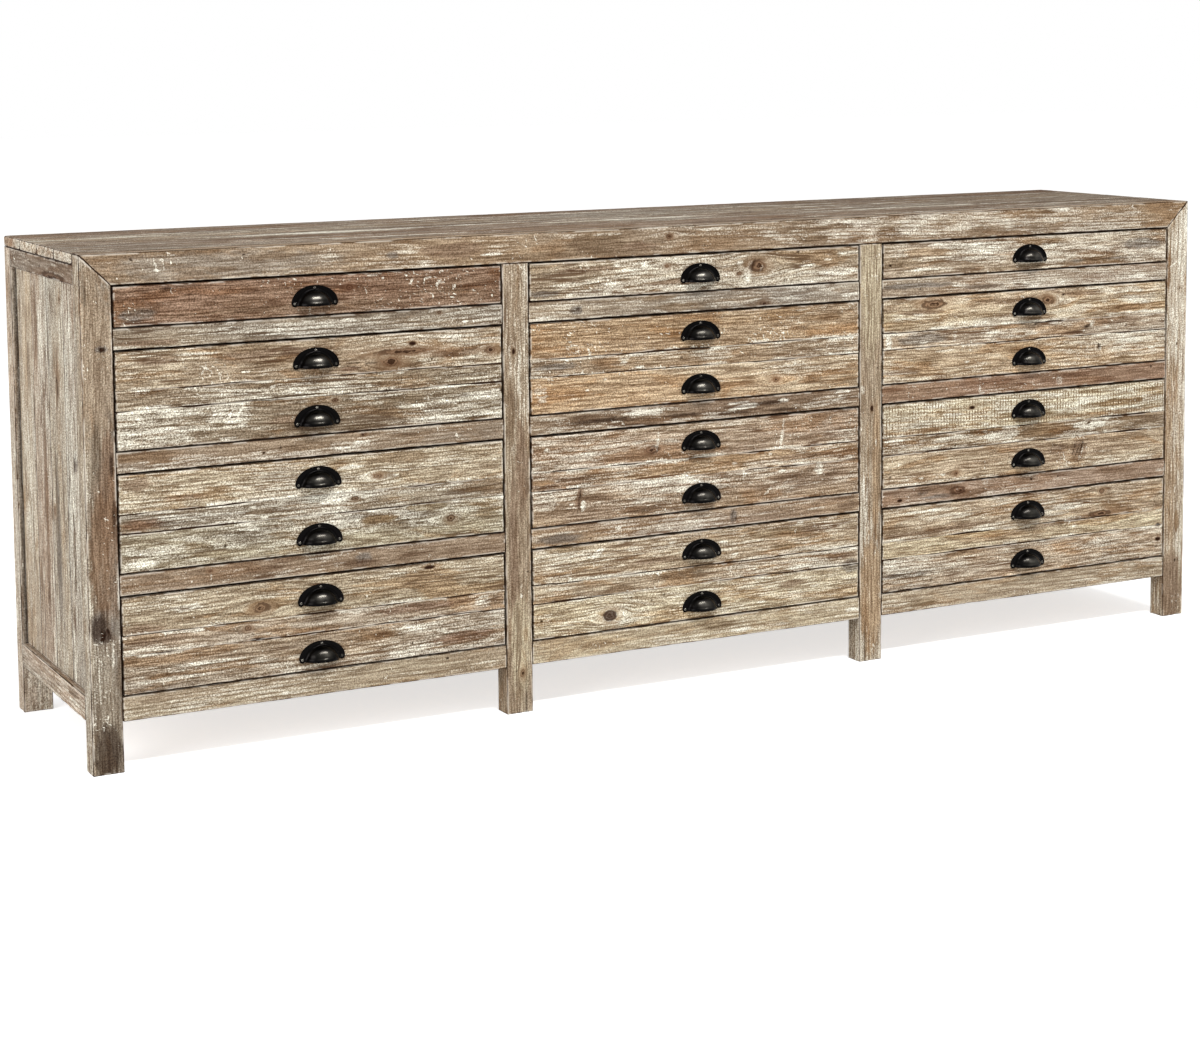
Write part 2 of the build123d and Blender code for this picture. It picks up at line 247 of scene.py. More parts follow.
# The marks of every old board: kind, number a metre, half width in millimetres, length over width, and
# whether there are more of them where more whitewash is left
SCATTERED = (
    ("knot", 0.35, 4.0, 1.0, False),
    ("stain", 3.0, 6.0, 6.0, False),
    ("faded", 3.0, 6.0, 7.0, False),
    ("white", 5.0, 2.5, 7.0, True),
    ("chip", 3.0, 1.8, 3.0, True),
    ("pin", 1.6, 1.7, 1.2, False),
)
MARK_MARGIN_MM = 25
KNOT_STRETCH = 1.35
KNOT_REACH = 1.5
NO_KNOT = 6.0

# A value for shade_and_dirt_from that lies beyond any board's end, so that its sides stay clean and get no
# painted shade
SIDES_UNSHADED_AND_CLEAN = 100.0
# How much painted shade and dirt darken each colour on a board's sides, which show in the gaps between boards
SIDE_SHADE_AND_DIRT = np.array((0.92, 0.945, 0.965))
EDGE_LINES_MM = (0.0, 0.45, 1.0, 1.7, 2.7, 4.0)
LEAST_DEEP_STEP = 0.009
# The fields of a board that its material reads. figure holds the growth ring, the distance from a knot
# and the distance from an edge, and finish the whitewash, the flecks and the streaks.
ATTRIBUTES = {
    "grain": "FLOAT_VECTOR",
    "figure": "FLOAT_VECTOR",
    "finish": "FLOAT_VECTOR",
    "tone": "FLOAT_COLOR",
}


def grid_lines(low, high, step, fine_ends=(True, True)):
    """Positions from low to high, close together near the fine ends and step apart between them."""
    near = np.array([line * MM for line in EDGE_LINES_MM if line * MM < (high - low) * 0.4])
    at_low, at_high = (near if fine else near[:1] for fine in fine_ends)
    start, stop = low + at_low[-1], high - at_high[-1]
    between = np.linspace(start, stop, max(1, round((stop - start) / step)) + 1)
    return np.concatenate([low + at_low[:-1], between, high - at_high[:-1][::-1]])


def skin(lines, hidden=None):
    """The surface of a box as a lattice with shared corners: its points, its faces wound outwards, four
    corners to a face, and the loop of corners round its hidden side, which stays one flat face.

    hidden is that side's axis and end, 0 or -1, or None if every side shows. Then the loop is empty.
    """
    shape = [len(line) for line in lines]
    core = [slice(1, -1)] * 3
    if hidden:
        core[hidden[0]] = slice(1, None) if hidden[1] else slice(0, -1)
    inside = np.zeros(shape, bool)
    inside[tuple(core)] = True
    number = np.cumsum(~inside.ravel()).reshape(shape) - 1
    points = np.stack(np.meshgrid(*lines, indexing="ij"), -1)[~inside]
    quads, back = [], np.zeros(0, int)
    for axis, end in itertools.product(range(3), (0, -1)):
        sheet = np.take(number, end, axis)
        outwards = (end == -1) != (axis == Y)
        if (axis, end) == hidden:
            back = np.concatenate([sheet[:-1, 0], sheet[-1, :-1], sheet[:0:-1, -1], sheet[0, :0:-1]])
            back = back if outwards else back[::-1]
            continue
        quad = np.stack([sheet[:-1, :-1], sheet[1:, :-1], sheet[1:, 1:], sheet[:-1, 1:]], -1).reshape(-1, 4)
        quads.append(quad if outwards else quad[:, ::-1])
    return points, np.concatenate(quads), back


def worn(points, low, high, radius, depth):
    """The lattice with its edges rounded to radius and its faces pressed in by depth, point by point."""
    core = np.clip(points, low + radius[:, None], high - radius[:, None])
    out = points - core
    out /= np.linalg.norm(out, axis=1)[:, None]
    return core + out * (radius - depth)[:, None]


def mark_strength(mark, along, across, seed):
    """How strongly a mark lies on each point, from 0 to 1, with an uneven outline."""
    angle = math.radians(mark.tilt)
    x, y = along - mark.along * MM, across - mark.across * MM
    turned_x = x * math.cos(angle) + y * math.sin(angle)
    turned_y = y * math.cos(angle) - x * math.sin(angle)
    ragged = smooth_noise(np.stack([along * 90, across * 260, np.zeros(len(x))], -1), seed + 31)
    reach = (turned_x / (mark.half_length * MM)) ** 2 + (turned_y / (mark.half_width * MM)) ** 2
    return ramp(reach + 0.45 * ragged, 1.5, 0.45)


def scattered_marks(look, board_length, board_width, random):
    """Marks that every old board has: a few knots, stains and spots of paint."""
    made = []
    for kind, per_metre, size, slender, with_wash in SCATTERED:
        often = per_metre * look.wash if with_wash else per_metre
        for _ in range(random.poisson(often * board_length)):
            width = size * random.uniform(0.6, 1.5)
            along = random.uniform(0, board_length / MM)
            across = random.uniform(0.08, 0.92) * board_width / MM
            made.append(Mark(kind, along, across, width * slender * random.uniform(0.7, 1.4), width))
    return made


class Surface:
    """A board's lattice and what its material reads at each point, while the board is being made."""

    def __init__(self, low, high, lie, look, seed, step, back_shows):
        self.sizes, self.colours = settings("boards"), settings("colours")
        self.low, self.high = np.array(low, float), np.array(high, float)
        self.lie, self.look, self.seed = lie, look, seed
        self.length = self.high[lie.along] - self.low[lie.along]
        self.width = self.high[lie.across] - self.low[lie.across]
        self.points, self.quads, self.back = self.lattice(step, back_shows)
        from_low, from_high = self.points - self.low, self.high - self.points
        self.along, self.across = from_low[:, lie.along], from_low[:, lie.across]
        self.deep = (from_low if lie.side < 0 else from_high)[:, lie.deep]
        self.flat = np.stack([self.along, self.across, self.deep], -1)
        self.edge_gap = np.sort(np.concatenate([from_low, from_high], axis=1), axis=1)[:, 1]
        self.near_face = ramp(self.deep, 0.010, 0.002)
        self.lay_tones()

    def lattice(self, step, back_shows):
        """The board's points and faces, with longer cells along the grain and coarse ones in its depth."""
        lie = self.lie
        steps = [step] * 3
        steps[lie.along] *= self.sizes.grain_stretch
        steps[lie.deep] = max(step, LEAST_DEEP_STEP)
        fine_ends = [(True, True)] * 3
        hidden = None
        if not back_shows:
            hidden = (lie.deep, -1 if lie.side < 0 else 0)
            fine_ends[lie.deep] = (lie.side < 0, lie.side > 0)
        return skin([grid_lines(*line) for line in zip(self.low, self.high, steps, fine_ends)], hidden)

    def noise(self, scales, number):
        """Soft noise over the board, stretched by its scales along, across and deep into the board."""
        return smooth_noise(self.flat * scales, self.seed + number)

    def lay_tones(self):
        """The board's two tones in blotches, its whitewash, and the hollows of its worn face."""
        look, relief = self.look, self.sizes.relief
        self.tone = np.array(getattr(self.colours, look.tone)) * look.level
        second = np.array(getattr(self.colours, look.second)) * look.level
        blotch = self.noise((2.5, 14, 14), 0) * 0.6 + self.noise((9, 60, 60), 1) * 0.4
        mixed = np.clip(look.share + 0.75 * blotch, 0, 1)[:, None]
        self.tones = self.tone * (1 - mixed) + second * mixed
        self.wash = look.wash + 0.3 * self.noise((3.2, 17, 17), 2)
        self.fleck = np.full(len(self.points), float(look.fleck))
        self.knot = np.full(len(self.points), NO_KNOT)
        self.bent = self.across.copy()
        self.depth = relief * (0.5 + 0.5 * self.noise((11, 55, 55), 3))
        self.depth += 0.4 * relief * (0.5 + 0.5 * self.noise((24, 210, 210), 4))

    def lay_marks(self, marks, reach, random):
        """Adds the board's own marks and then the scattered ones, each over those before it."""
        moved = [m._replace(along=m.along - reach[0] / MM, across=m.across - reach[1] / MM) for m in marks]
        for mark in moved + scattered_marks(self.look, self.length, self.width, random):
            if -MARK_MARGIN_MM < mark.across < self.width / MM + MARK_MARGIN_MM:
                lay = self.lay_knot if mark.kind.endswith("knot") else self.lay_mark
                lay(mark)

    def lay_knot(self, mark):
        """Bends the grain round a knot, sinks a groove round it and inks it if it is a black or grey one."""
        dx, dy = (self.along - mark.along * MM) / KNOT_STRETCH, self.across - mark.across * MM
        width = mark.half_width * MM
        apart = np.hypot(dx / max(1.0, mark.half_length / mark.half_width), dy) / width
        pull = np.minimum(1.0, (KNOT_REACH * width) ** 2 / (dx * dx / 4 + dy * dy + 1e-9))
        self.bent -= dy * pull * 0.85
        self.knot = np.minimum(self.knot, apart)
        groove = np.exp(-((apart - 1.0) / 0.3) ** 2)
        self.depth += self.sizes.knot_relief * groove * self.near_face
        if mark.kind in INKED_KNOTS:
            ink, wash = INKED_KNOTS[mark.kind]
            spot = ramp(apart, 1.4, 0.8)
            self.cover(getattr(self.colours, ink), 1, spot)
            self.wash += spot * wash

    def lay_mark(self, mark):
        """Adds one mark's paint, flecks, colour or hollow."""
        strength = mark_strength(mark, self.along, self.across, self.seed) * self.near_face
        if mark.kind in PAINT_MARKS:
            self.wash += PAINT_MARKS[mark.kind] * strength
        elif mark.kind == "flecks":
            self.fleck += 0.6 * strength
        elif mark.kind == "stain":
            self.cover(self.tone * STAIN, STAIN_COVER, strength)
            self.wash -= STAIN_RUBS_OFF * strength
        else:
            ink, part, rubbed_off = DARK_MARKS.get(mark.kind, (mark.kind, STAIN_COVER, STAIN_RUBS_OFF))
            self.cover(getattr(self.colours, ink), part, strength)
            self.wash -= rubbed_off * strength
        if mark.kind == "crack":
            self.depth += self.sizes.dent_depth * strength

    def cover(self, ink, part, strength):
        """Draws the tones towards a colour."""
        self.tones += (np.array(ink) - self.tones) * part * strength[:, None]

    def grow_rings(self, random):
        """Numbers the growth rings outwards from a pith under the face, and sinks the soft wood in each."""
        arch = self.look.arch
        pith_across = random.uniform(-0.2, 1.2) * self.width
        pith_deep = 0.012 + (0.03 + 0.09 * random.random()) * arch
        pith_across += (1 - arch) * random.choice((-1, 1)) * 0.12
        drift = random.uniform(0.012, 0.04) * random.choice((-1, 1)) * arch
        wander = 0.012 * self.noise((2.2, 0, 0), 5)
        sunk = self.deep + pith_deep + drift * self.along + 0.35 * wander
        self.ring = np.hypot(self.bent - pith_across - wander, sunk)
        self.ring += 0.0022 * self.noise((7, 30, 30), 6)
        self.ring /= random.uniform(0.0045, 0.008)
        part = self.ring % 1.0
        self.depth += 0.25 * self.sizes.relief * ramp(part, 0.5, 0.95) * ramp(part, 1.0, 0.95)

    def chip_seams(self, seams):
        """Chips the paint along each seam, and notes how near each point is to one."""
        self.at_seam = np.zeros(len(self.points))
        if not seams:
            return
        chipped = ramp(self.noise((22, 5, 5), 9), 0.1, 0.5)
        for end in seams:
            from_seam = self.across if end == 0 else self.width - self.across
            self.at_seam = np.maximum(self.at_seam, ramp(from_seam, 0.006, 0.003))
            self.wash += 0.45 * ramp(from_seam, 0.008, 0.003) * chipped
            self.fleck += 1.6 * ramp(from_seam, 0.009, 0.003) * chipped

    def shade_and_dirty_sides(self, shade_and_dirt_from):
        """Darkens the sides beyond shade_and_dirt_from along the board with painted gap shade and dirt, most
        just behind the face.
        """
        shade_and_dirt = ramp(self.deep, 0.001, 0.0035) * (1 - 0.5 * ramp(self.deep, 0.004, 0.012))
        shade_and_dirt *= self.along >= shade_and_dirt_from
        self.tones *= 1 - SIDE_SHADE_AND_DIRT * shade_and_dirt[:, None]
        self.wash -= 1.2 * shade_and_dirt

    def worn_points(self):
        """The points with worn edges, sharper at a seam, and with hollows no deeper than those allow."""
        sizes = self.sizes
        wear = ramp(self.noise((16, 16, 16), 7), -0.1, 0.9)
        wear += 1.2 * ramp(self.noise((60, 60, 60), 8), 0.55, 0.95)
        radius = (sizes.edge_radius + sizes.edge_wear * wear) * (1 - 0.5 * self.at_seam)
        radius = np.minimum(radius, 0.3 * (self.high - self.low).min())
        deepest = 0.6 * radius + sizes.dent_depth * ramp(self.edge_gap, 0.001, 0.004)
        return worn(self.points, self.low, self.high, radius, np.minimum(self.depth, deepest))

    def finished(self, random):
        """The board as a dict of its points, faces and the fields that its material reads."""
        count = len(self.points)
        # Along a seam, noise moves the edge field in and out, so that the line of dirt and painted shade
        # comes and goes
        closed = ramp(self.noise((14, 0, 0), 10), -0.5, 0.1)
        edge = self.edge_gap + self.at_seam * (0.0022 * closed - 0.0007)
        streak = np.full(count, float(self.look.streak))
        shift = random.uniform(0, 30, 3)
        return {
            "points": self.worn_points(),
            "quads": self.quads,
            "back": self.back,
            "grain": np.stack([self.along, self.bent, self.deep], -1) + shift,
            "figure": np.stack([self.ring, self.knot, edge], -1),
            "finish": np.stack([self.wash, self.fleck, streak], -1),
            "tone": np.concatenate([np.clip(self.tones, 0.001, 1), np.ones((count, 1))], -1),
        }


def board(low, high, lie, look, seed, step, marks=(), reach=(0.0, 0.0), seams=(), shade_and_dirt_from=0.0,
          back_shows=False):
    """One board as a dict of its points, its faces and the fields that its material reads.

    reach is how far the board's low corner lies from its marks' own origin, along and across. seams holds 0
    and 1 where the board's lower and upper edge meets a board of the same front, so that they wear less. The
    sides are dark with painted shade and some dirt beyond shade_and_dirt_from along the board. Unless
    back_shows, its back is one flat face.
    """
    random = np.random.default_rng(seed)
    surface = Surface(low, high, lie, look, seed, step, back_shows)
    surface.lay_marks(marks, reach, random)
    surface.grow_rings(random)
    surface.chip_seams(seams)
    surface.shade_and_dirty_sides(shade_and_dirt_from)
    return surface.finished(random)


def retouched(made, factor, wash=0.0):
    """Multiplies a board's tones by a factor, one or three numbers a point, and adds to its whitewash."""
    made["tone"][:, :3] *= factor
    made["finish"][:, 0] += wash


def mesh_of_boards(name, boards):
    """One mesh of several boards, with four corners to a face and one flat face for each hidden side."""
    starts = np.cumsum([0] + [len(b["points"]) for b in boards[:-1]])
    points = np.concatenate([b["points"] for b in boards])
    quads = np.concatenate([b["quads"] + start for b, start in zip(boards, starts)])
    backs = [b["back"] + start for b, start in zip(boards, starts) if len(b["back"])]
    loops = np.concatenate([quads.ravel(), *backs]).astype(np.int32)
    corner_counts = np.array([4] * len(quads) + [len(back) for back in backs], np.int32)
    loop_starts = (np.cumsum(corner_counts) - corner_counts).astype(np.int32)
    mesh = bpy.data.meshes.new(name)
    mesh.vertices.add(len(points))
    mesh.vertices.foreach_set("co", points.astype(np.float32).ravel())
    mesh.loops.add(len(loops))
    mesh.loops.foreach_set("vertex_index", loops)
    mesh.polygons.add(len(corner_counts))
    mesh.polygons.foreach_set("loop_start", loop_starts)
    mesh.update(calc_edges=True)
    mesh.validate()
    mesh.shade_smooth()
    return mesh


def wooden_piece(name, boards, material, body, slot, *nodes):
    """Joins boards into one piece that stands for CAD nodes and moves with their body."""
    mesh = mesh_of_boards(name, boards)
    for field, kind in ATTRIBUTES.items():
        values = np.concatenate([b[field] for b in boards]).astype(np.float32)
        attribute = mesh.attributes.new(field, kind, "POINT")
        attribute.data.foreach_set("color" if kind == "FLOAT_COLOR" else "vector", values.ravel())
    mesh.materials.append(material)
    piece = bpy.data.objects.new(name, mesh)
    bpy.context.scene.collection.objects.link(piece)
    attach(piece, body)
    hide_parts(*nodes)
    return piece


# Materials


class Shading:
    """One material's nodes, added and linked a step at a time."""

    def __init__(self, name):
        self.material = bpy.data.materials.new(name)
        self.material.use_nodes = True
        self.tree = self.material.node_tree
        self.tree.nodes.clear()
        self.shader = self.node("BsdfPrincipled")
        output = self.node("OutputMaterial")
        self.tree.links.new(self.shader.outputs["BSDF"], output.inputs["Surface"])

    def node(self, kind, inputs=(), **values):
        """A node with its settings, and with its inputs set or linked."""
        return filled(self.tree, self.tree.nodes.new("ShaderNode" + kind), inputs, values)

    def surface(self, **values):
        """Sets or links inputs of the surface, their names written with underscores."""
        for name, value in values.items():
            put(self.tree, self.shader.inputs[name.replace("_", " ")], value)

    def field(self, name):
        """A vector field of the mesh."""
        return self.node("Attribute", attribute_name=name).outputs["Vector"]

    def parts(self, vector):
        """A vector's three parts."""
        return self.node("SeparateXYZ", {"Vector": vector}).outputs

    def math(self, operation, *values, clamp=False):
        """Sums and the like, from one to three values."""
        return self.node("Math", dict(enumerate(values)), operation=operation, use_clamp=clamp).outputs[0]

    def times(self, one, other, clamp=False):
        """Two values multiplied."""
        return self.math("MULTIPLY", one, other, clamp=clamp)

    def plus(self, one, other):
        """Two values added."""
        return self.math("ADD", one, other)

    def swayed(self, value, noise, amount):
        """A value moved up and down by a noise, by up to half of amount."""
        return self.plus(value, self.times(self.math("SUBTRACT", noise, 0.5), amount))

    def near(self, value, middle, far, close, top=1.0):
        """top where a value is less than close from middle, and 0 where it is more than far from it."""
        return self.rise(self.math("ABSOLUTE", self.math("SUBTRACT", value, middle)), far, close, top)

    def scaled(self, vector, sizes):
        """A vector's parts multiplied by three sizes."""
        return self.node("VectorMath", {0: vector, 1: sizes}, operation="MULTIPLY").outputs[0]

    def noise(self, vector, scale=1.0, detail=2.0, rough=0.5, bend=0.0):
        """Cloudy noise from 0 to 1."""
        inputs = {"Vector": vector, "Scale": scale, "Detail": detail, "Roughness": rough, "Distortion": bend}
        return self.node("TexNoise", inputs).outputs["Fac"]

    def rise(self, value, low, high, top=1.0):
        """0 at low, top at high, with an S-shaped rise between them."""
        inputs = {"Value": value, "From Min": low, "From Max": high, "To Min": 0.0, "To Max": top}
        return self.node("MapRange", inputs, interpolation_type="SMOOTHSTEP").outputs["Result"]

    def mix(self, part, first, second, blend="MIX"):
        """Two colours, or a colour and a number, mixed."""
        made = self.node("Mix", data_type="RGBA", blend_type=blend)
        for socket, value in zip((made.inputs[0], made.inputs[6], made.inputs[7]), (part, first, second)):
            put(self.tree, socket, value)
        return made.outputs[2]

    def bump(self, height, strength, distance):
        """Small relief in the surface's shading."""
        inputs = {"Height": height, "Strength": strength, "Distance": distance}
        self.surface(Normal=self.node("Bump", inputs).outputs["Normal"])


def put(tree, socket, value):
    """Links a socket to another one, or sets its value."""
    if isinstance(value, bpy.types.NodeSocket):
        tree.links.new(value, socket)
    else:
        socket.default_value = value


def filled(tree, node, inputs, values):
    """A node with its settings made and its inputs set or linked."""
    for key, value in values.items():
        setattr(node, key, value)
    for key, value in dict(inputs).items():
        put(tree, node.inputs[key], value)
    return node


def solid(rgb):
    """A linear colour with full alpha."""
    return (*rgb, 1.0)


def scaled_colour(rgb, factors):
    """A linear colour times three factors."""
    return tuple(c * f for c, f in zip(rgb, factors))


def material_once(name, make, **values):
    """The material called name, made by make if it isn't there yet."""
    return bpy.data.materials.get(name) or make(name, **values)


class OldPine(Shading):
    """The nodes of old pine. Each method below the helpers lays one layer over the colour so far."""

    def __init__(self, name, strength):
        super().__init__(name)
        colours = settings("colours")
        self.white, self.soot, self.strength = solid(colours.whitewash), solid(colours.soot), strength
        self.grain = self.field("grain")
        self.ring, self.knot, self.edge = self.parts(self.field("figure"))
        self.wash, self.fleck, self.streak = self.parts(self.field("finish"))
        self.tone = self.node("Attribute", attribute_name="tone").outputs["Color"]
        self.place = self.node("TexCoord").outputs["Object"]
        self.narrow = self.along_grain((6, 150, 150), 4, 0.62)
        self.hair = self.along_grain((17, 290, 290), 3, 0.7)
        self.brush = self.along_grain((24, 130, 130), 5, 0.7)
        self.cloud = self.along_grain((9, 32, 32), 4, 0.62, 0.4)
        self.speckle = self.noise(self.place, scale=330, detail=3, rough=0.8)
        self.spread = self.noise(self.place, scale=14, detail=2)
        self.pits = self.noise(self.place, scale=150, detail=3, rough=0.7)
        self.colour = self.tone

    def along_grain(self, scales, detail, rough, bend=0.0):
        """Noise stretched along the grain."""
        return self.noise(self.scaled(self.grain, scales), detail=detail, rough=rough, bend=bend)

    def tint(self, part, *factors):
        """Swaps part of the colour for the board's tone times three factors."""
        self.cover(part, self.mix(1.0, self.tone, (*factors, 1), "MULTIPLY"))

    def cover(self, part, colour_over):
        """Mixes a colour over the colour so far."""
        self.colour = self.mix(part, self.colour, colour_over)

    def grained(self, part, noise, dark, light):
        """Multiplies the colour by a noise that runs from dark to light."""
        level = self.mix(self.rise(noise, 0.36, 0.64), (*dark, 1), (*light, 1))
        self.colour = self.mix(part, self.colour, level, "MULTIPLY")

    def rings(self):
        """Where a growth ring is dark, at its end."""
        phase = self.math("FRACT", self.plus(self.ring, self.times(self.narrow, 0.45)))
        late = self.times(self.rise(phase, 0.5, 0.9), self.rise(phase, 1.0, 0.95))
        self.late = self.times(late, self.rise(self.cloud, 0.34, 0.56))

    def streaks(self):
        """Streaks, patches and fibres, darker and lighter than the board's own tone."""
        broad = self.along_grain((2.4, 32, 32), 5, 0.6)
        dark = self.rise(broad, 0.54, 0.62, 0.3 * self.strength)
        self.tint(self.times(dark, self.plus(self.streak, 0.15)), 0.64, 0.53, 0.43)
        pale = self.rise(broad, 0.47, 0.38, 0.3)
        self.tint(self.times(pale, self.plus(self.streak, 0.2)), 1.22, 1.22, 1.20)
        self.tint(self.times(self.late, 0.5), 0.46, 0.36, 0.27)
        patch = self.along_grain((5, 24, 24), 5, 0.62, 0.6)
        self.tint(self.rise(patch, 0.52, 0.60, 0.75 * self.strength), 0.77, 0.62, 0.48)
        busy = self.rise(self.cloud, 0.42, 0.62, 0.25 * self.strength)
        busy = self.times(busy, self.plus(self.streak, 0.1))
        self.grained(self.plus(0.06, busy), self.narrow, (0.52, 0.45, 0.38), (1.35, 1.40, 1.40))
        self.grained(0.7 * self.strength, self.hair, (0.48, 0.41, 0.33), (1.41, 1.48, 1.51))

    def whitewash(self):
        """Whitewash, left in the pale grain and rubbed off the hard rings: a thin veil and a thick coat."""
        left = self.wash
        for noise, amount in ((self.brush, 1.1), (self.hair, 0.7), (self.cloud, 1.4), (self.speckle, 1.1)):
            left = self.swayed(left, noise, amount)
        left = self.math("SUBTRACT", left, self.times(self.late, 0.3))
        self.thick = self.rise(left, 0.90, 0.95, 0.75)
        self.cover(self.rise(left, 0.42, 0.80, 0.45), self.white)
        self.cover(self.thick, self.white)

    def flecks(self):
        """Short flecks and scratches of paint, leaning both ways."""
        strokes = []
        for turn, shift in ((0.9, 3.1), (-0.7, 8.4)):
            inputs = {"Vector": self.place, "Location": (shift,) * 3, "Rotation": (turn,) * 3}
            turned = self.node("Mapping", inputs).outputs[0]
            strokes.append(self.noise(self.scaled(turned, (330, 85, 85)), detail=3, rough=0.6))
        spots = self.swayed(self.math("MAXIMUM", *strokes), self.spread, 0.4)
        spots = self.plus(spots, self.times(self.fleck, 0.07))
        self.cover(self.rise(spots, 0.745, 0.77, 0.92), self.white)

    def dirt(self):
        """Fine dirt in the fibres and pits, over the wash as well."""
        self.grained(0.6 * self.strength, self.hair, (0.62, 0.57, 0.51), (1.23, 1.28, 1.29))
        self.grained(0.5 + 0.5 * self.strength, self.speckle, (0.47, 0.44, 0.40), (1.45, 1.51, 1.52))
        self.tint(self.rise(self.pits, 0.69, 0.73, 0.85), 0.26, 0.20, 0.16)

    def checks(self):
        """Checks: long thin dark lines in the grain."""
        line = self.near(self.along_grain((2.0, 64, 64), 2, 0.55), 0.5, 0.026, 0.008)
        gate = self.along_grain((5, 30, 30), 3, 0.6)
        line = self.times(line, self.rise(gate, 0.52, 0.58, 0.9 * self.strength))
        self.line = self.times(line, self.plus(self.streak, 0.3), clamp=True)
        self.tint(self.line, 0.30, 0.22, 0.16)

    def knots(self):
        """Knots: a brown body, a dark outline broken here and there, and an uneven heart."""
        uneven = self.swayed(self.knot, self.noise(self.place, scale=95, detail=4, rough=0.62), 1.5)
        self.tint(self.rise(uneven, 2.6, 1.0, 0.55), 0.68, 0.54, 0.42)
        body = self.math("SUBTRACT", self.rise(uneven, 1.1, 0.9, 0.9), self.thick, clamp=True)
        self.tint(body, 0.56, 0.43, 0.34)
        whorl = self.math("FRACT", self.times(uneven, 2.4))
        whorl = self.times(self.rise(whorl, 0.35, 0.75, 0.6), self.rise(whorl, 1.0, 0.85))
        outline = self.near(uneven, 0.95, 0.24, 0.08, 0.62)
        self.cover(self.times(whorl, self.rise(uneven, 1.2, 1.0)), self.soot)
        self.cover(self.times(outline, self.rise(self.spread, 0.42, 0.52)), self.soot)
        self.cover(self.times(self.rise(uneven, 0.5, 0.3, 0.9), self.rise(self.brush, 0.38, 0.5)), self.soot)

    def saw_marks(self):
        """The upright marks of a saw across a rough board."""
        bands = {"Vector": self.place, "Scale": 44.0, "Distortion": 1.2, "Detail": 2.0, "Detail Scale": 3.0}
        comb = self.node("TexWave", bands, bands_direction="X").outputs["Fac"]
        comb = self.times(self.rise(comb, 0.5, 0.15), self.rise(self.pits, 0.42, 0.54))
        dots = self.times(comb, self.rise(self.narrow, 0.43, 0.52, 0.95))
        self.tint(self.times(comb, 0.6), 0.50, 0.44, 0.37)
        self.tint(dots, 0.34, 0.25, 0.17)

    def edges(self):
        """Edges: bare pale wood where they are rubbed, dirt and painted shade right at the corner, darkening
        the joints.
        """
        rub = self.along_grain((24, 90, 90), 3, 0.6)
        rubbed = self.times(self.rise(self.edge, 0.0048, 0.0014), self.rise(rub, 0.47, 0.56))
        self.cover(self.times(rubbed, 0.7), self.mix(0.6, self.tone, self.white))
        # A dark line of dirt and painted shade along every edge, which darkens the joints between boards
        self.cover(self.rise(self.swayed(self.edge, rub, 0.003), 0.0018, 0.0006), self.soot)

    def relief(self):
        """Raised fibres and paint, and sunken checks."""
        height = self.plus(self.times(self.narrow, 0.9), self.times(self.hair, 0.7))
        height = self.plus(height, self.times(self.thick, 0.3))
        height = self.math("SUBTRACT", height, self.times(self.line, 0.9))
        height = self.plus(height, self.times(self.late, 0.25))
        self.bump(height, 0.6, 0.0012)


def weathered_pine(name, strength=1.0, sawn=False):
    """Old pine: rings, streaks, rubbed whitewash, flecks of paint, checks, knots and worn edges.

    strength is how strongly its streaks and fibres show, and sawn adds the marks of a saw.
    """
    pine = OldPine(name, strength)
    pine.rings()
    pine.streaks()
    pine.whitewash()
    pine.flecks()
    pine.dirt()
    pine.checks()
    pine.knots()
    if sawn:
        pine.saw_marks()
    pine.edges()
    pine.relief()
    roughness = pine.plus(pine.times(pine.narrow, 0.3), 0.55)
    pine.surface(Base_Color=pine.colour, Roughness=roughness, Specular_IOR_Level=0.06)
    return pine.material


def plain_pine(name, tone):
    """Plain pine for pieces whose grain runs level, in both directions."""
    s = Shading(name)
    place = s.node("TexCoord").outputs["Object"]
    facing = s.parts(s.node("TexCoord").outputs["Normal"])
    x, y, z = s.parts(place)
    sideways = s.rise(s.math("ABSOLUTE", facing[0]), 0.4, 0.6)
    level = s.math("SUBTRACT", 1.0, sideways)
    run = s.plus(s.times(y, sideways), s.times(x, level))
    depth = s.plus(s.times(x, sideways), s.times(y, level))
    grain = s.node("CombineXYZ", {0: run, 1: z, 2: depth}).outputs[0]
    broad = s.noise(s.scaled(grain, (2.5, 36, 20)), detail=3)
    rings = s.math("FRACT", s.times(s.noise(s.scaled(grain, (1.3, 13, 6)), detail=1), 14.0))
    late = s.times(s.rise(rings, 0.3, 0.9), s.rise(rings, 1.0, 0.9))
    fibre = s.noise(s.scaled(grain, (30, 700, 700)), detail=3)
    dark = scaled_colour(tone, (0.74, 0.62, 0.48))
    light = tuple(min(1.0, c * 1.12) for c in tone)
    wood = s.mix(s.times(late, 0.5), s.mix(broad, solid(light), solid(tone)), solid(dark))
    wood = s.mix(0.35, wood, s.mix(fibre, (0.6, 0.58, 0.55, 1), (1.4, 1.4, 1.4, 1)), "MULTIPLY")
    s.surface(Base_Color=wood, Roughness=s.plus(s.times(fibre, 0.2), 0.5), Specular_IOR_Level=0.3)
    s.bump(s.plus(fibre, s.times(late, 0.5)), 0.3, 0.0004)
    return s.material


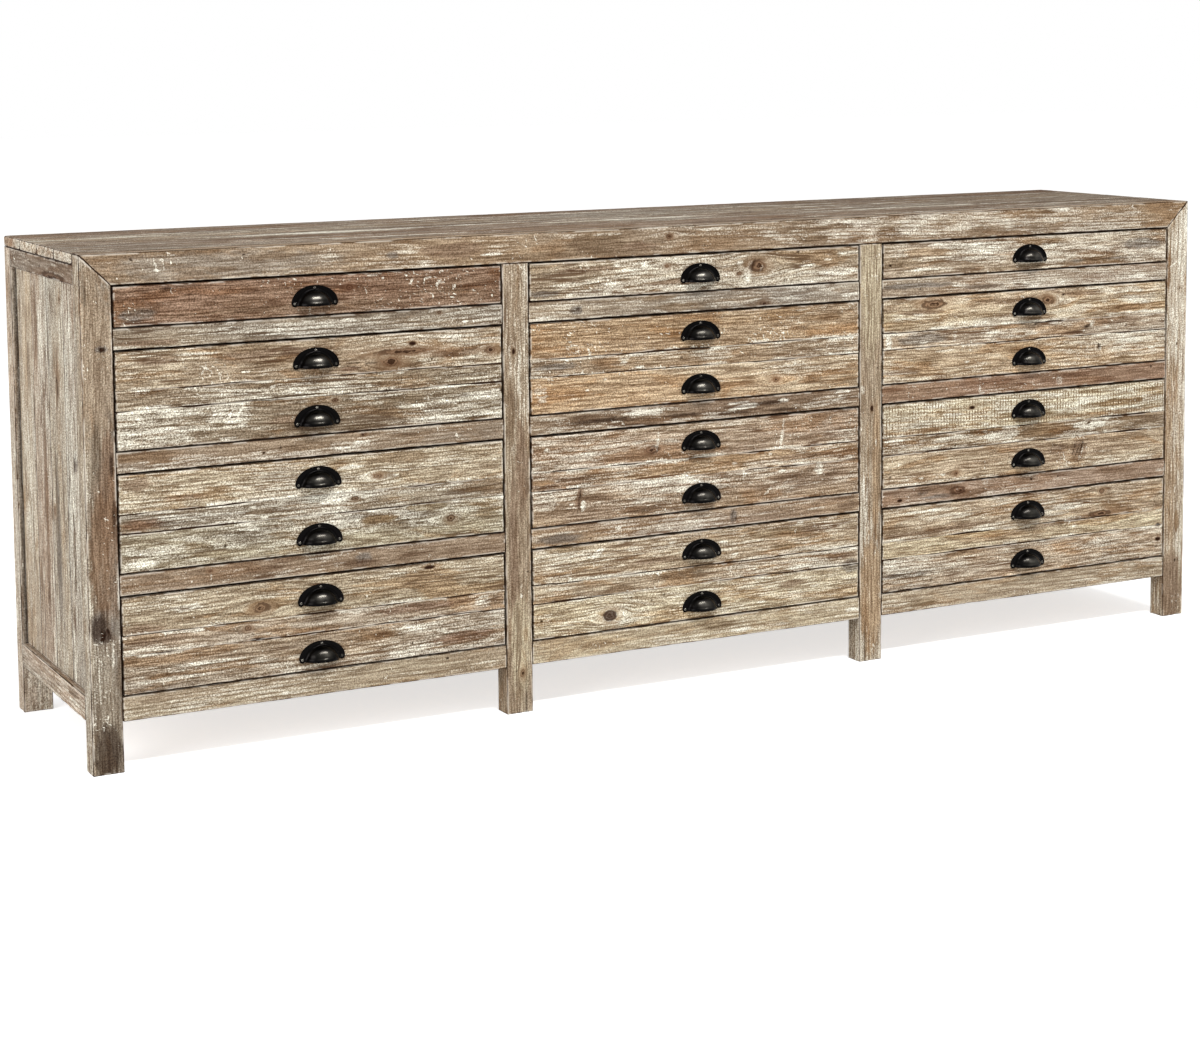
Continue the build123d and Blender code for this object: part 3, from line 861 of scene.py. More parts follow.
def dark_metal(name):
    """Cast metal rubbed with black oil: satin, a little uneven, brown where worn, paler where bare from wear
    and painted highlight.
    """
    metal = settings("colours").metal
    s = Shading(name)
    place = s.node("TexCoord").outputs["Object"]
    cast = s.noise(place, scale=260, detail=4, rough=0.6)
    smear = s.noise(place, scale=60, detail=3)
    # The worn field gives pale bare metal: wear, laid where the highlights fall as a painted highlight and
    # glint
    rubbed = s.node("Attribute", attribute_name="worn").outputs["Fac"]
    brown = scaled_colour(metal, (1.4, 1.25, 1.15))
    oiled = s.mix(s.rise(smear, 0.5, 0.8, 0.3), solid(metal), solid(brown))
    bare = s.mix(s.rise(smear, 0.3, 0.7), solid(paint(74, 71, 65)), solid(paint(130, 126, 117)))
    roughness = s.plus(s.times(smear, 0.08), 0.21)
    s.surface(Base_Color=s.mix(rubbed, oiled, bare), Metallic=1.0, Roughness=roughness)
    s.bump(cast, 0.1, 0.0003)
    return s.material


def pale_surface(name, glow):
    """A white surface that keeps the shadow on it and glows a little where it is seen or mirrored."""
    s = Shading(name)
    path = s.node("LightPath").outputs
    seen = s.math("MAXIMUM", path["Is Camera Ray"], path["Is Glossy Ray"])
    seen = s.math("MAXIMUM", seen, path["Is Transmission Ray"])
    s.surface(Base_Color=(0.82, 0.82, 0.82, 1), Roughness=1.0, Specular_IOR_Level=0.0,
              Emission_Color=(1, 1, 1, 1), Emission_Strength=s.times(seen, glow))
    return s.material


# Where the boards lie, read from the frame


def corners(node):
    """A CAD node's lowest and highest corner as arrays."""
    low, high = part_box(node)
    return np.array(low), np.array(high)


def column_span(column):
    """The left and right edge of a column's drawer openings."""
    low, high = corners(f"drawer_{column}_top_front")
    gap = settings("boards").side_gap
    return low[X] - gap, high[X] + gap


def in_columns(node):
    """The box of each column's own rail in a node that has one in every column."""
    low, high = corners(node)
    return [((left, *low[1:]), (right, *high[1:])) for left, right in map(column_span, COLUMNS)]


def between_columns(node):
    """The box of each upright in a node that stands between the columns."""
    low, high = corners(node)
    spans = [column_span(c) for c in COLUMNS]
    return [((spans[i][1], *low[1:]), (spans[i + 1][0], *high[1:])) for i in range(len(spans) - 1)]


def split_box(low, high, axis, count):
    """A box cut into equal boxes side by side."""
    cuts = np.linspace(low[axis], high[axis], count + 1)
    boxes = []
    for start, end in zip(cuts[:-1], cuts[1:]):
        one_low, one_high = np.array(low, float), np.array(high, float)
        one_low[axis], one_high[axis] = start, end
        boxes.append((one_low, one_high))
    return boxes


# The looks of the boards


def rows(kind, text):
    """Looks or marks, written as words and numbers in the order of their fields, with commas between them."""
    return [kind(*(word if word[0].isalpha() else float(word) for word in row.split()))
            for row in text.split(",")]


# The looks of a node's boards, one a column from the left, or of a drawer front's boards from its top down
RAIL_LOOKS = {
    "drawer_rails_upper": rows(Look,
        "grey sand 0.5 0.42 1.2 0.2 0.5 0.85, "
        "sand grey 0.5 0.45 0.4 0.2 0.5 1.05, "
        "sand pink 0.4 0.5 1.2 0.25 0.5 0.97"),
    "drawer_rails_middle": rows(Look,
        "tan grey 0.5 0.36 0.2 0.1 0.5 0.95, "
        "umber tan 0.6 0.5 1.0 0.5 0.5 0.94, "
        "russet umber 0.5 0.28 1.0 0.2 0.5 1.33"),
    "drawer_rails_lower": rows(Look,
        "umber tan 0.5 0.25 0.3 0.2 0.5 0.98, "
        "pink honey 0.5 0.45 0.4 0.1 0.5 0.88, "
        "umber pink 0.5 0.27 1.0 0.2 0.5 1.21"),
    "bottom_rails": rows(Look,
        "khaki tan 0.4 0.3 0.2 0.15 0.5 1.04, "
        "khaki cream 0.5 0.4 0.2 0.1 0.5 1.16, "
        "khaki sand 0.5 0.3 0.2 0.1 0.5 1.16"),
}
RAIL_MARKS = {
    ("drawer_rails_upper", 0): rows(Mark, "umber 60 10 55 5, faded 330 24 120 8"),
    ("drawer_rails_upper", 1): rows(Mark, "ash 100 18 13 8, soot 104 20 5 3, soot 92 15 6 1.5"),
    ("drawer_rails_upper", 2): rows(Mark, "ash 80 22 90 6, ash 250 12 60 4"),
    ("drawer_rails_middle", 0): rows(Mark, "pin 300 22 2 2"),
    ("drawer_rails_middle", 1): rows(Mark,
        "white 245 26 42 7, chip 475 20 40 6 6, chip 455 28 22 3, chip 560 26 12 4, chip 250 28 26 3, "
        "soot 150 18 60 5, soot 330 14 50 4, soot 520 24 30 4, soot 560 8 40 3, soot 445 10 40 3"),
    ("drawer_rails_middle", 2): rows(Mark, "white 245 19 3 17, white 450 16 9 10"),
    ("drawer_rails_lower", 0): rows(Mark,
        "ash 455 20 17 11, white 447 20 1.8 12 15, white 458 22 1.8 12 20, white 468 20 1.6 8 10, "
        "soot 452 15 1.6 6 15, white 165 20 2 12"),
    ("drawer_rails_lower", 1): rows(Mark,
        "ash 443 20 8 17 -8, soot 441 24 2 11 -12, soot 449 15 1.5 7 10, ash 60 14 50 9"),
    ("drawer_rails_lower", 2): rows(Mark,
        "ash 105 25 16 5 10, chip 112 26 3 2, soot 98 23 4 2.5, knot 190 20 14 8, chip 188 23 4 2.5, "
        "soot 196 17 5 2.5, black_knot 45 12 4 3, ash 150 12 50 4"),
}
FRONT_LOOKS = {
    "left_top": rows(Look, "russet umber 0.35 0.14 0.7 0.5 0.5 1.06"),
    "left_upper": rows(Look,
        "tan sand 0.5 0.42 0.7 0.35 0.5 1.04, "
        "tan sand 0.4 0.5 0.6 0.4 0.5 0.83, "
        "sand tan 0.4 0.46 0.5 0.4 0.5 0.76"),
    "left_middle": rows(Look,
        "sand khaki 0.5 0.5 0.35 0.25 0.5 1.12, "
        "sand grey 0.4 0.42 0.35 0.3 0.5 0.9, "
        "cream grey 0.45 0.42 0.6 0.2 1.0 0.81"),
    "left_lower": rows(Look,
        "sand khaki 0.5 0.35 0.7 0.35 0.5 1.05, "
        "tan grey 0.5 0.42 0.8 0.6 0.5 1.37, "
        "tan grey 0.5 0.48 0.6 0.35 0.5 1.1"),
    "centre_top": rows(Look, "sand tan 0.4 0.52 0.7 0.5 1.0 0.98"),
    "centre_upper": rows(Look,
        "honey tan 0.4 0.25 0.2 0.4 0.3 1.08, "
        "tan honey 0.4 0.42 0.3 0.4 0.5 1.02, "
        "honey sand 0.5 0.27 0.2 0.35 0.3 1.25"),
    "centre_middle": rows(Look,
        "pink tan 0.35 0.42 0.7 0.5 0.5 1.13, "
        "honey umber 0.4 0.35 1.0 0.4 0.5 1.07, "
        "pink honey 0.4 0.45 0.4 0.6 0.5 0.92"),
    "centre_lower": rows(Look,
        "khaki tan 0.4 0.42 0.7 0.3 0.5 1.26, "
        "tan sand 0.5 0.45 0.4 0.2 0.5 1.17, "
        "cream khaki 0.5 0.42 0.5 0.2 0.5 1.22"),
    "right_top": rows(Look, "sand pink 0.5 0.5 0.6 0.35 0.5 1.05"),
    "right_upper": rows(Look,
        "tan cream 0.5 0.55 0.8 0.3 1.0 1.32, "
        "tan grey 0.4 0.5 0.8 0.3 0.5 1.47, "
        "sand honey 0.4 0.55 0.6 0.3 0.9 1.23"),
    "right_middle": rows(Look,
        "cream grey 0.2 0.8 0.3 0.5 0.1 1.2, "
        "honey tan 0.5 0.42 0.3 0.4 0.5 0.84, "
        "tan khaki 0.5 0.36 0.3 0.5 0.5 1.34"),
    "right_lower": rows(Look,
        "tan sand 0.5 0.4 1.0 0.15 0.5 1.26, "
        "cream tan 0.45 0.42 0.6 0.15 0.5 1.25, "
        "tan grey 0.4 0.5 1.1 0.2 0.5 1.51"),
}
FRONT_MARKS = {
    "left_top": rows(Mark,
        "ash 40 20 34 12, soot 95 62 12 4, flecks 470 64 260 9, white 270 62 2.5 12 -25, "
        "white 300 64 2 9 20, chip 555 50 2.5 7 -30, chip 588 56 9 3 20, chip 610 47 3 6 30, "
        "chip 480 66 12 3, chip 500 61 3 5 -20, umber 330 16 240 6, umber 620 30 90 5"),
    "left_upper": rows(Mark,
        "umber 78 153 40 8, umber 240 152 62 11, white 150 160 42 2.5, umber 330 150 25 10, "
        "knot 514 121 14 10, knot 540 138 40 6, black_knot 556 152 5 3.5, knot 712 130 9 6, "
        "umber 640 130 55 9, crack 300 72 90 1.2 1, faded 205 48 38 24, chip 222 49 1.6 18 -28, "
        "chip 207 51 1.3 12 -30, white 190 58 24 1.8 4, white 184 52 12 1.6 12, umber 206 57 2.5 9 25, "
        "white 212 37 16 3.5 6, white 228 29 9 3, white 196 41 5 2 30, crack 452 123 34 0.9 -3, "
        "crack 440 117 24 0.9 -12, russet 432 114 16 4, russet 365 121 12 5, faded 80 26 90 8, "
        "white 650 12 80 3, umber 330 32 55 7, white 640 68 80 2"),
    "left_middle": rows(Mark,
        "umber 33 155 28 11, russet 43 84 34 10, umber 120 125 45 4, faded 70 40 60 12, white 40 15 30 4, "
        "white 60 100 35 2, faded 480 96 200 5, pin 190 30 3 2"),
    "left_lower": rows(Mark,
        "umber 36 113 40 8, white 10 124 5 7 30, white 115 142 30 6, faded 250 148 75 8, knot 255 126 11 8, "
        "black_knot 582 164 7 3, white 430 98 85 3, white 690 88 16 12, black_knot 247 70 9 2.5, "
        "white 155 40 65 4, white 90 20 60 4, russet 650 26 65 11, russet 560 92 90 8, umber 60 92 70 8, "
        "faded 560 52 70 9"),
    "centre_top": rows(Mark,
        "umber 125 54 70 5, white 185 60 7 4, white 245 56 9 5 40, white 458 50 7 5, knot 500 42 13 11, "
        "white 478 32 8 24 -15, soot 488 46 2 14 -20, chip 507 38 3 7 -20, ash 30 12 32 6, "
        "white 690 22 45 7, umber 330 20 80 5"),
    "centre_upper": rows(Mark,
        "white 408 103 7 4, white 600 105 120 1.6, white 20 40 15 32, faded 60 25 50 12, "
        "white 590 164 26 2.5, honey 320 150 180 12, faded 400 88 40 12, ash 50 88 45 6, "
        "flecks 300 120 250 20"),
    "centre_middle": rows(Mark,
        "faded 120 125 60 9, knot 258 128 12 7, white 264 128 10 8, white 272 142 2.5 24 -6, "
        "white 554 135 4 30 -8, white 210 104 200 2.5, umber 620 86 105 5, russet 100 48 6 20 -8, "
        "crack 101 45 2 22 -8, white 108 32 5 12, white 465 60 2.5 11, white 640 58 10 14, "
        "white 520 22 12 3 40, faded 30 45 28 18, faded 690 120 45 16, umber 230 118 60 5"),
    "centre_lower": rows(Mark,
        "white 138 152 16 7 35, umber 272 126 65 6, umber 600 150 80 8, grey_knot 164 28 8 10, "
        "umber 576 45 34 8, crack 150 70 60 1.2 1, ash 715 66 22 14, umber 690 90 40 7, faded 640 18 90 10"),
    "right_top": rows(Mark,
        "white 262 61 85 2.2, umber 250 64 60 4, ash 670 42 58 12, white 110 14 70 2, ash 560 14 90 4, "
        "honey 110 50 60 8"),
    "right_upper": rows(Mark,
        "knot 125 157 20 9, umber 90 142 60 5, knot 417 149 11 9, ash 95 86 62 12, white 178 88 5 11, "
        "white 14 84 8 14, soot 522 88 9 4.5 15, pin 520 86 4 1.8 20, white 533 90 8 5 30, "
        "umber 610 96 65 7, umber 480 76 30 4, ash 554 42 5 9 10, pin 552 44 1.4 6, chip 558 38 1.6 4, "
        "honey 325 54 58 14, umber 500 160 60 6, white 640 110 70 3"),
    "right_middle": rows(Mark,
        "black_knot 223 151 5 3, honey 560 112 170 5, honey 90 112 80 6, white 300 88 42 11, "
        "honey 410 92 55 13, white 530 92 40 11, umber 502 38 19 30 -20, pin 508 42 1.5 20 -20, "
        "pin 498 36 1.2 14 -24, chip 513 41 1.8 22 -18, chip 500 43 1.4 18 -22, soot 489 40 1.5 12 -20, "
        "umber 445 44 26 12, faded 350 30 60 16, white 200 5 160 3"),
    "right_lower": rows(Mark,
        "umber 150 118 150 5 2, umber 430 100 120 5 4, knot 560 110 22 6, ash 60 30 60 7, "
        "faded 420 128 90 9, black_knot 722 38 5 4, black_knot 722 70 4 3, honey 300 88 120 6, "
        "white 120 160 80 3"),
}
POST_LOOKS = {
    "front_post_left": Look("grey", "sand", 0.3, 0.34, 0.4, 0.4, 0.5, 0.81),
    "front_post_right": Look("honey", "sand", 0.5, 0.58, 0.4, 0.3, 0.5, 1.03),
}
POST_MARKS = {
    "front_post_left": rows(Mark,
        "tan 740 28 180 40, umber 390 30 150 26, umber 480 42 110 18, ash 746 36 6 11, pin 745 37 4.5 6 10, "
        "chip 752 41 2 6, ash 262 24 30 24, soot 262 18 22 12 10, soot 246 30 13 8 -30, "
        "chip 264 31 7 1.8 40, chip 250 20 6 1.5 70, chip 276 14 6 1.5 -50, flecks 300 28 200 26, "
        "soot 40 28 50 24, umber 545 44 60 12, soot 545 48 22 4, soot 460 50 30 3, pin 243 24 11 4 20, "
        "pin 254 34 6 2.2 -30"),
    "front_post_right": rows(Mark,
        "umber 60 22 80 30, faded 740 28 160 26, white 780 16 14 2 60, pin 600 30 3 2"),
}
CENTRE_POST_LOOKS = rows(Look, "tan sand 0.5 0.38 0.8 0.3 0.5 0.94, sand tan 0.4 0.42 0.8 0.3 0.5 1.0")
CENTRE_POST_MARKS = (
    rows(Mark,
        "crack 40 40 70 1.5, umber 300 18 160 10, umber 470 36 90 12, cream 130 30 100 20, "
        "black_knot 690 22 4 3"),
    rows(Mark,
        "honey 400 40 140 9, honey 130 26 120 26, cream 780 27 150 26, crack 30 14 60 1.3, "
        "white 560 8 10 5, black_knot 520 30 4 3"),
)
TOP_RAIL_MARKS = rows(Mark,
    "chip 130 30 3 15 4, chip 132 22 10 2.5, ash 578 27 12 7, umber 700 30 60 14, umber 1080 20 40 8, "
    "grey 250 26 220 24, faded 430 26 45 18, stain 900 12 180 6, stain 1000 30 60 20, faded 1700 30 300 20, "
    "white 2105 50 12 2")
TOP_RAIL_LOOK = Look("tan", "honey", 0.4, 0.33, 0.25, 0.25, 0.5, 0.86)
TOP_LOOKS = rows(Look,
    "grey umber 0.5 0.24 1.0 0.3 0.5 1.06, "
    "umber grey 0.6 0.17 1.0 0.2 0.5 1.06, "
    "grey tan 0.3 0.27 1.0 0.3 0.5 1.06, "
    "umber grey 0.4 0.2 1.0 0.2 0.5 1.06")
# The two tones of each plank of a side, which the back shares, and how light the side's planks are
PLANK_TONES = (("grey", "pink"), ("grey", "sand"), ("grey", "pink"), ("grey", "sand"))
SIDE_LEVELS = (1.08, 1.22, 1.33, 1.6)
REAR_POST_LOOK = Look("grey", "pink", 0.4, 0.6, 0.5, 0.3, 0.5, 1.75)
REAR_CENTRE_POST_LOOK = Look("tan", "grey", 0.5, 0.35)
REAR_RAIL_LOOK = Look("tan", "umber", 0.5, 0.3)
SIDE_RAIL_LOOKS = {
    "side_top_rails": Look("umber", "grey", 0.4, 0.3, 1.0, 0.7, 1.0, 1.0),
    "side_bottom_rails": Look("grey", "pink", 0.5, 0.6, 0.5, 0.3, 0.5, 1.42),
}
SIDE_MARKS = {
    ("left", 0): rows(Mark, "ash 405 52 20 13, white 413 50 13 8, soot 397 58 12 3 -12, white 640 70 60 4"),
    ("left", 1): rows(Mark,
        "umber 528 52 34 8, soot 520 50 17 5, pin 536 54 9 3, umber 560 46 40 6, ash 250 70 160 14"),
    ("left", 2): rows(Mark, "umber 300 40 220 12, umber 620 80 70 10"),
}
SIDE_RAIL_MARKS = {
    ("side_top_rails", -1): rows(Mark, "knot 130 3 60 9, umber 250 34 60 4, chip 30 40 16 5"),
}


# The carcass

MITRE_REACH = 0.16
# Scale from the distance to a slanted end to the edge field, which lays worn wood and dirt with painted shade
# there
MITRE_EDGE_WEAR_AND_SHADE = 0.55
OUTER_SIDE_LIGHTER, OUTER_SIDE_WASH = 0.28, 0.2
TOP_END_LIGHTER, TOP_END_WASH = 0.6, 0.4
# Painted shade: how much of each colour the top loses from left to right
TOP_PAINTED_SHADE = np.array((0.23, 0.26, 0.30))
# Painted shade on a rear post's step beside the side panel: how much it darkens and how much whitewash it
# takes away
PANEL_STEP_SHADE, PANEL_STEP_SHADE_WASH = 0.96, 1.2
# Painted shade on the side's last plank, where it goes in behind the rear post
LAST_PLANK_SHADE = 0.85
PLANKS_A_SIDE, PLANKS_A_COLUMN, TOP_BOARD_COUNT = 4, 7, 4
STREAKS_A_BOARD = 34
SAWN_DRAWER = ("right", "middle")


def frame_pine():
    """The material of the posts and rails, with weak streaks."""
    return material_once("weathered_frame", weathered_pine, strength=0.65)


def carcass_piece(node, boards, material, slot="frame_wood"):
    """A wooden piece of the carcass that stands for one CAD node."""
    wooden_piece("worn_" + node, boards, material, "carcass", slot, node)


def mark_end(made, from_end):
    """Lets the material see the slanted end of a piece as an edge, with its rubbed wood and its line of dirt
    and painted shade.
    """
    figure = made["figure"]
    figure[:, 2] = np.minimum(figure[:, 2], MITRE_EDGE_WEAR_AND_SHADE * np.maximum(from_end, 0.0))


def mitred_post(made, low, high, inner_edge_drop, outwards):
    """Slants a post's top end, from full height outside to inner_edge_drop lower at its inner side."""
    points = made["points"]
    mark_end(made, high[Z] - points[:, Z])
    part = (high[X] - points[:, X] if outwards > 0 else points[:, X] - low[X]) / (high[X] - low[X])
    start = high[Z] - MITRE_REACH
    stretch = np.clip((points[:, Z] - start) / (high[Z] - start), 0, 1)
    points[:, Z] -= inner_edge_drop * np.clip(part, 0, 1) * stretch


def mitred_rail(made, low, high, post_width):
    """Slants both ends of the top rail, from full length at its top to a post's width shorter below."""
    points = made["points"]
    mark_end(made, np.minimum(points[:, X] - low[X], high[X] - points[:, X]))
    part = (high[Z] - points[:, Z]) / (high[Z] - low[Z])
    for end, way in ((low[X], 1), (high[X], -1)):
        stretch = np.clip(1 - np.abs(points[:, X] - end) / MITRE_REACH, 0, 1)
        points[:, X] += way * post_width * part * stretch


def outer_front_post(node, outwards, seed):
    """One of the two mitred posts at the front's ends, lighter on its outer side."""
    low, high = corners(node)
    rail_low, rail_high = corners("top_rail")
    made = board(low, high, FRONT_UPRIGHT, POST_LOOKS[node], seed, settings("boards").front_step,
                 POST_MARKS[node], shade_and_dirt_from=SIDES_UNSHADED_AND_CLEAN, back_shows=True)
    outer = low[X] if outwards < 0 else high[X]
    outer_side = ramp(np.abs(made["points"][:, X] - outer), 0.006, 0.001)
    retouched(made, 1 + OUTER_SIDE_LIGHTER * outer_side[:, None], OUTER_SIDE_WASH * outer_side)
    mitred_post(made, low, high, rail_high[Z] - rail_low[Z], outwards)
    return made


def top_rail():
    """The rail over the drawers, mitred into both outer posts."""
    low, high = corners("top_rail")
    post_low, post_high = corners("front_post_left")
    made = board(low, high, FRONT_LYING, TOP_RAIL_LOOK, 31, settings("boards").front_step, TOP_RAIL_MARKS,
                 shade_and_dirt_from=SIDES_UNSHADED_AND_CLEAN)
    mitred_rail(made, low, high, post_high[X] - post_low[X])
    return made


class OBJECT_OT_chest_face_frame(bpy.types.Operator):
    """Build the worn posts and rails of the front"""

    bl_idname = "object.chest_face_frame"
    bl_label = "Face frame"

    def execute(self, context):
        step = settings("boards").front_step
        material = frame_pine()
        for number, (node, outwards) in enumerate((("front_post_left", -1), ("front_post_right", 1))):
            carcass_piece(node, [outer_front_post(node, outwards, 11 + number)], material)
        foot = corners("bottom_rails")[0][Z]
        posts = [
            board(low, high, FRONT_UPRIGHT, look, 21 + i, step, marks, shade_and_dirt_from=foot, back_shows=True)
            for i, ((low, high), look, marks) in enumerate(
                zip(between_columns("centre_posts"), CENTRE_POST_LOOKS, CENTRE_POST_MARKS))
        ]
        carcass_piece("centre_posts", posts, material)
        carcass_piece("top_rail", [top_rail()], material)
        for number, (node, looks) in enumerate(RAIL_LOOKS.items()):
            rails = [
                board(low, high, FRONT_LYING, look, 41 + 5 * number + i, step, RAIL_MARKS.get((node, i), ()))
                for i, ((low, high), look) in enumerate(zip(in_columns(node), looks))
            ]
            carcass_piece(node, rails, material)
        return {"FINISHED"}


def long_streaks(board_length, board_width, seed):
    """Dark and pale streaks that run far along a board of the top."""
    random = np.random.default_rng(seed)
    return [
        Mark(random.choice(("stain", "faded", "white", "umber")), random.uniform(0, board_length / MM),
             random.uniform(0, board_width / MM), random.uniform(60, 330), random.uniform(4, 11))
        for _ in range(STREAKS_A_BOARD)
    ]


class OBJECT_OT_chest_top(bpy.types.Operator):
    """Build the worn boards of the top"""

    bl_idname = "object.chest_top"
    bl_label = "Top"

    def execute(self, context):
        sizes = settings("boards")
        low, high = corners("top_boards")
        high[Y] += sizes.top_seam
        boards = []
        for number, (one_low, one_high) in enumerate(split_box(low, high, Y, TOP_BOARD_COUNT)):
            one_high[Y] -= sizes.top_seam
            streaks = long_streaks(high[X] - low[X], one_high[Y] - one_low[Y], 161 + number)
            made = board(one_low, one_high, TOP_LYING, TOP_LOOKS[number], 61 + number, sizes.wide_step,
                         streaks, shade_and_dirt_from=SIDES_UNSHADED_AND_CLEAN)
            along = made["points"][:, X]
            ends = ramp(np.abs(along), high[X] - 0.004, high[X])
            # Painted shade, deepening from left to right along the top
            retouched(made, 1 - TOP_PAINTED_SHADE * ramp(along, -0.4, high[X])[:, None])
            retouched(made, 1 + TOP_END_LIGHTER * ends[:, None], TOP_END_WASH * ends)
            boards.append(made)
        carcass_piece("top_boards", boards, material_once("weathered_top", weathered_pine), "top_wood")
        return {"FINISHED"}


def rear_corner_post(node, side, seed):
    """A rear post at one side, with painted shade on the step where it stands out from the planks beside it.
    """
    low, high = corners(node)
    made = board(low, high, SIDE_UPRIGHT[side], REAR_POST_LOOK, seed, settings("boards").wide_step,
                 shade_and_dirt_from=SIDES_UNSHADED_AND_CLEAN, back_shows=True)
    points = made["points"]
    deep = np.abs(points[:, X] - (low[X] if side < 0 else high[X]))
    # Painted shade on the face that steps out beside the recessed panel, above the bottom rail
    step_shade = ramp(points[:, Y] - low[Y], 0.0012, 0.0006) * ramp(deep, 0.002, 0.007)
    step_shade *= points[:, Z] > corners("side_bottom_rails")[0][Z]
    retouched(made, 1 - PANEL_STEP_SHADE * step_shade[:, None], -PANEL_STEP_SHADE_WASH * step_shade)
    return made


def side_planks(node, name, side, seed):
    """The upright planks of one side, the last one darkened with painted shade where it goes in behind the
    rear post.
    """
    step = settings("boards").wide_step
    low, high = corners(node)
    planks = []
    for i, (one_low, one_high) in enumerate(split_box(low, high, Y, PLANKS_A_SIDE)):
        look = Look(*PLANK_TONES[i], 0.4, 0.56, 1.2, 0.5, 0.5, SIDE_LEVELS[i])
        marks = SIDE_MARKS.get((name, i), ())
        planks.append(board(one_low, one_high, SIDE_UPRIGHT[side], look, seed + i, step, marks))
    # Painted shade in the corner behind the rear post
    corner_shade = ramp(high[Y] - planks[-1]["points"][:, Y], 0.009, 0.003)
    retouched(planks[-1], 1 - LAST_PLANK_SHADE * corner_shade[:, None], -corner_shade)
    return planks


def side_rails(node, look, seed):
    """The two rails of a node that has one on each side of the chest."""
    step = settings("boards").wide_step
    low, high = corners(node)
    thickness = corners("side_panel_left")[1][X] - corners("rear_post_left")[0][X]
    rails = []
    for side in (-1, 1):
        one_low, one_high = low.copy(), high.copy()
        if side < 0:
            one_high[X] = low[X] + thickness
        else:
            one_low[X] = high[X] - thickness
        marks = SIDE_RAIL_MARKS.get((node, side), ())
        rails.append(board(one_low, one_high, SIDE_LYING[side], look, seed + side, step, marks,
                           shade_and_dirt_from=SIDES_UNSHADED_AND_CLEAN))
    return rails


def back_planks():
    """The upright planks of the back, their tones drawn at random."""
    random = np.random.default_rng(121)
    planks = []
    for low, high in in_columns("back_panels"):
        for one_low, one_high in split_box(low, high, X, PLANKS_A_COLUMN):
            tones = PLANK_TONES[random.integers(len(PLANK_TONES))]
            look = Look(*tones, 0.4, 0.4, 0.7, 0.3, 0.5, 1.12)
            planks.append(board(one_low, one_high, REAR_UPRIGHT, look, int(random.integers(10**6)),
                                settings("boards").plain_step))
    return planks


class OBJECT_OT_chest_sides_and_back(bpy.types.Operator):
    """Build the sides, the back and the rear posts"""

    bl_idname = "object.chest_sides_and_back"
    bl_label = "Sides and back"

    def execute(self, context):
        step = settings("boards").plain_step
        panel_pine = material_once("weathered_panels", weathered_pine, strength=0.7)
        for number, (name, side) in enumerate((("left", -1), ("right", 1))):
            node = "rear_post_" + name
            carcass_piece(node, [rear_corner_post(node, side, 71 + number)], frame_pine())
            node = "side_panel_" + name
            carcass_piece(node, side_planks(node, name, side, 81 + 5 * number), panel_pine, "panel_wood")
        for number, (node, look) in enumerate(SIDE_RAIL_LOOKS.items()):
            carcass_piece(node, side_rails(node, look, 95 + 3 * number), frame_pine())
        foot = corners("rear_bottom_rails")[0][Z]
        posts = [
            board(low, high, REAR_UPRIGHT, REAR_CENTRE_POST_LOOK, 105 + i, step, shade_and_dirt_from=foot,
                  back_shows=True)
            for i, (low, high) in enumerate(between_columns("rear_centre_posts"))
        ]
        carcass_piece("rear_centre_posts", posts, frame_pine())
        for number, node in enumerate(("rear_top_rails", "rear_bottom_rails")):
            rails = [board(low, high, REAR_LYING, REAR_RAIL_LOOK, 111 + 4 * number + i, step)
                     for i, (low, high) in enumerate(in_columns(node))]
            carcass_piece(node, rails, frame_pine())
        carcass_piece("back_panels", back_planks(), panel_pine, "panel_wood")
        return {"FINISHED"}


# The drawers and the plain wood inside


def front_boards(column, row, seed):
    """The boards of one drawer front from the lowest up: one, or three of which the middle one is narrow."""
    sizes = settings("boards")
    low, high = corners(f"drawer_{column}_{row}_front")
    looks = FRONT_LOOKS[f"{column}_{row}"]
    levels = [low[Z], high[Z]]
    if len(looks) > 1:
        outer = (high[Z] - low[Z] - sizes.middle_board) / 2
        levels = [low[Z], low[Z] + outer, high[Z] - outer, high[Z]]
    boards = []
    for i, look in enumerate(reversed(looks)):
        one_low, one_high = low.copy(), high.copy()
        one_low[Z], one_high[Z] = levels[i], levels[i + 1]
        seams = [end for end in (0, 1) if 0 < i + end < len(looks)]
        boards.append(board(one_low, one_high, FRONT_LYING, look, seed + i, sizes.front_step,
                            FRONT_MARKS[f"{column}_{row}"], (0.0, levels[i] - low[Z]), seams))
    return boards


def give_last_board(piece, boards, material):
    """Gives the last of a piece's boards a material of its own."""
    piece.data.materials.append(material)
    start = sum(len(b["quads"]) for b in boards[:-1])
    slots = np.zeros(len(piece.data.polygons), np.int32)
    slots[start:start + len(boards[-1]["quads"])] = 1
    piece.data.polygons.foreach_set("material_index", slots)


class OBJECT_OT_chest_drawer_fronts(bpy.types.Operator):
    """Build the worn boards of the drawer fronts"""

    bl_idname = "object.chest_drawer_fronts"
    bl_label = "Drawer fronts"

    def execute(self, context):
        material = material_once("weathered_fronts", weathered_pine)
        rough = material_once("weathered_sawn_front", weathered_pine, sawn=True)
        for number, (column, row) in enumerate(itertools.product(COLUMNS, ROWS)):
            drawer = f"drawer_{column}_{row}"
            boards = front_boards(column, row, 201 + 7 * number)
            node = drawer + "_front"
            piece = wooden_piece("worn_" + node, boards, material, drawer, "front_wood", node)
            if (column, row) == SAWN_DRAWER:
                give_last_board(piece, boards, rough)
        return {"FINISHED"}


def dress_node(node, material):
    """Gives a CAD node a material."""
    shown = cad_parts[node]
    shown.data.materials.clear()
    shown.data.materials.append(material)


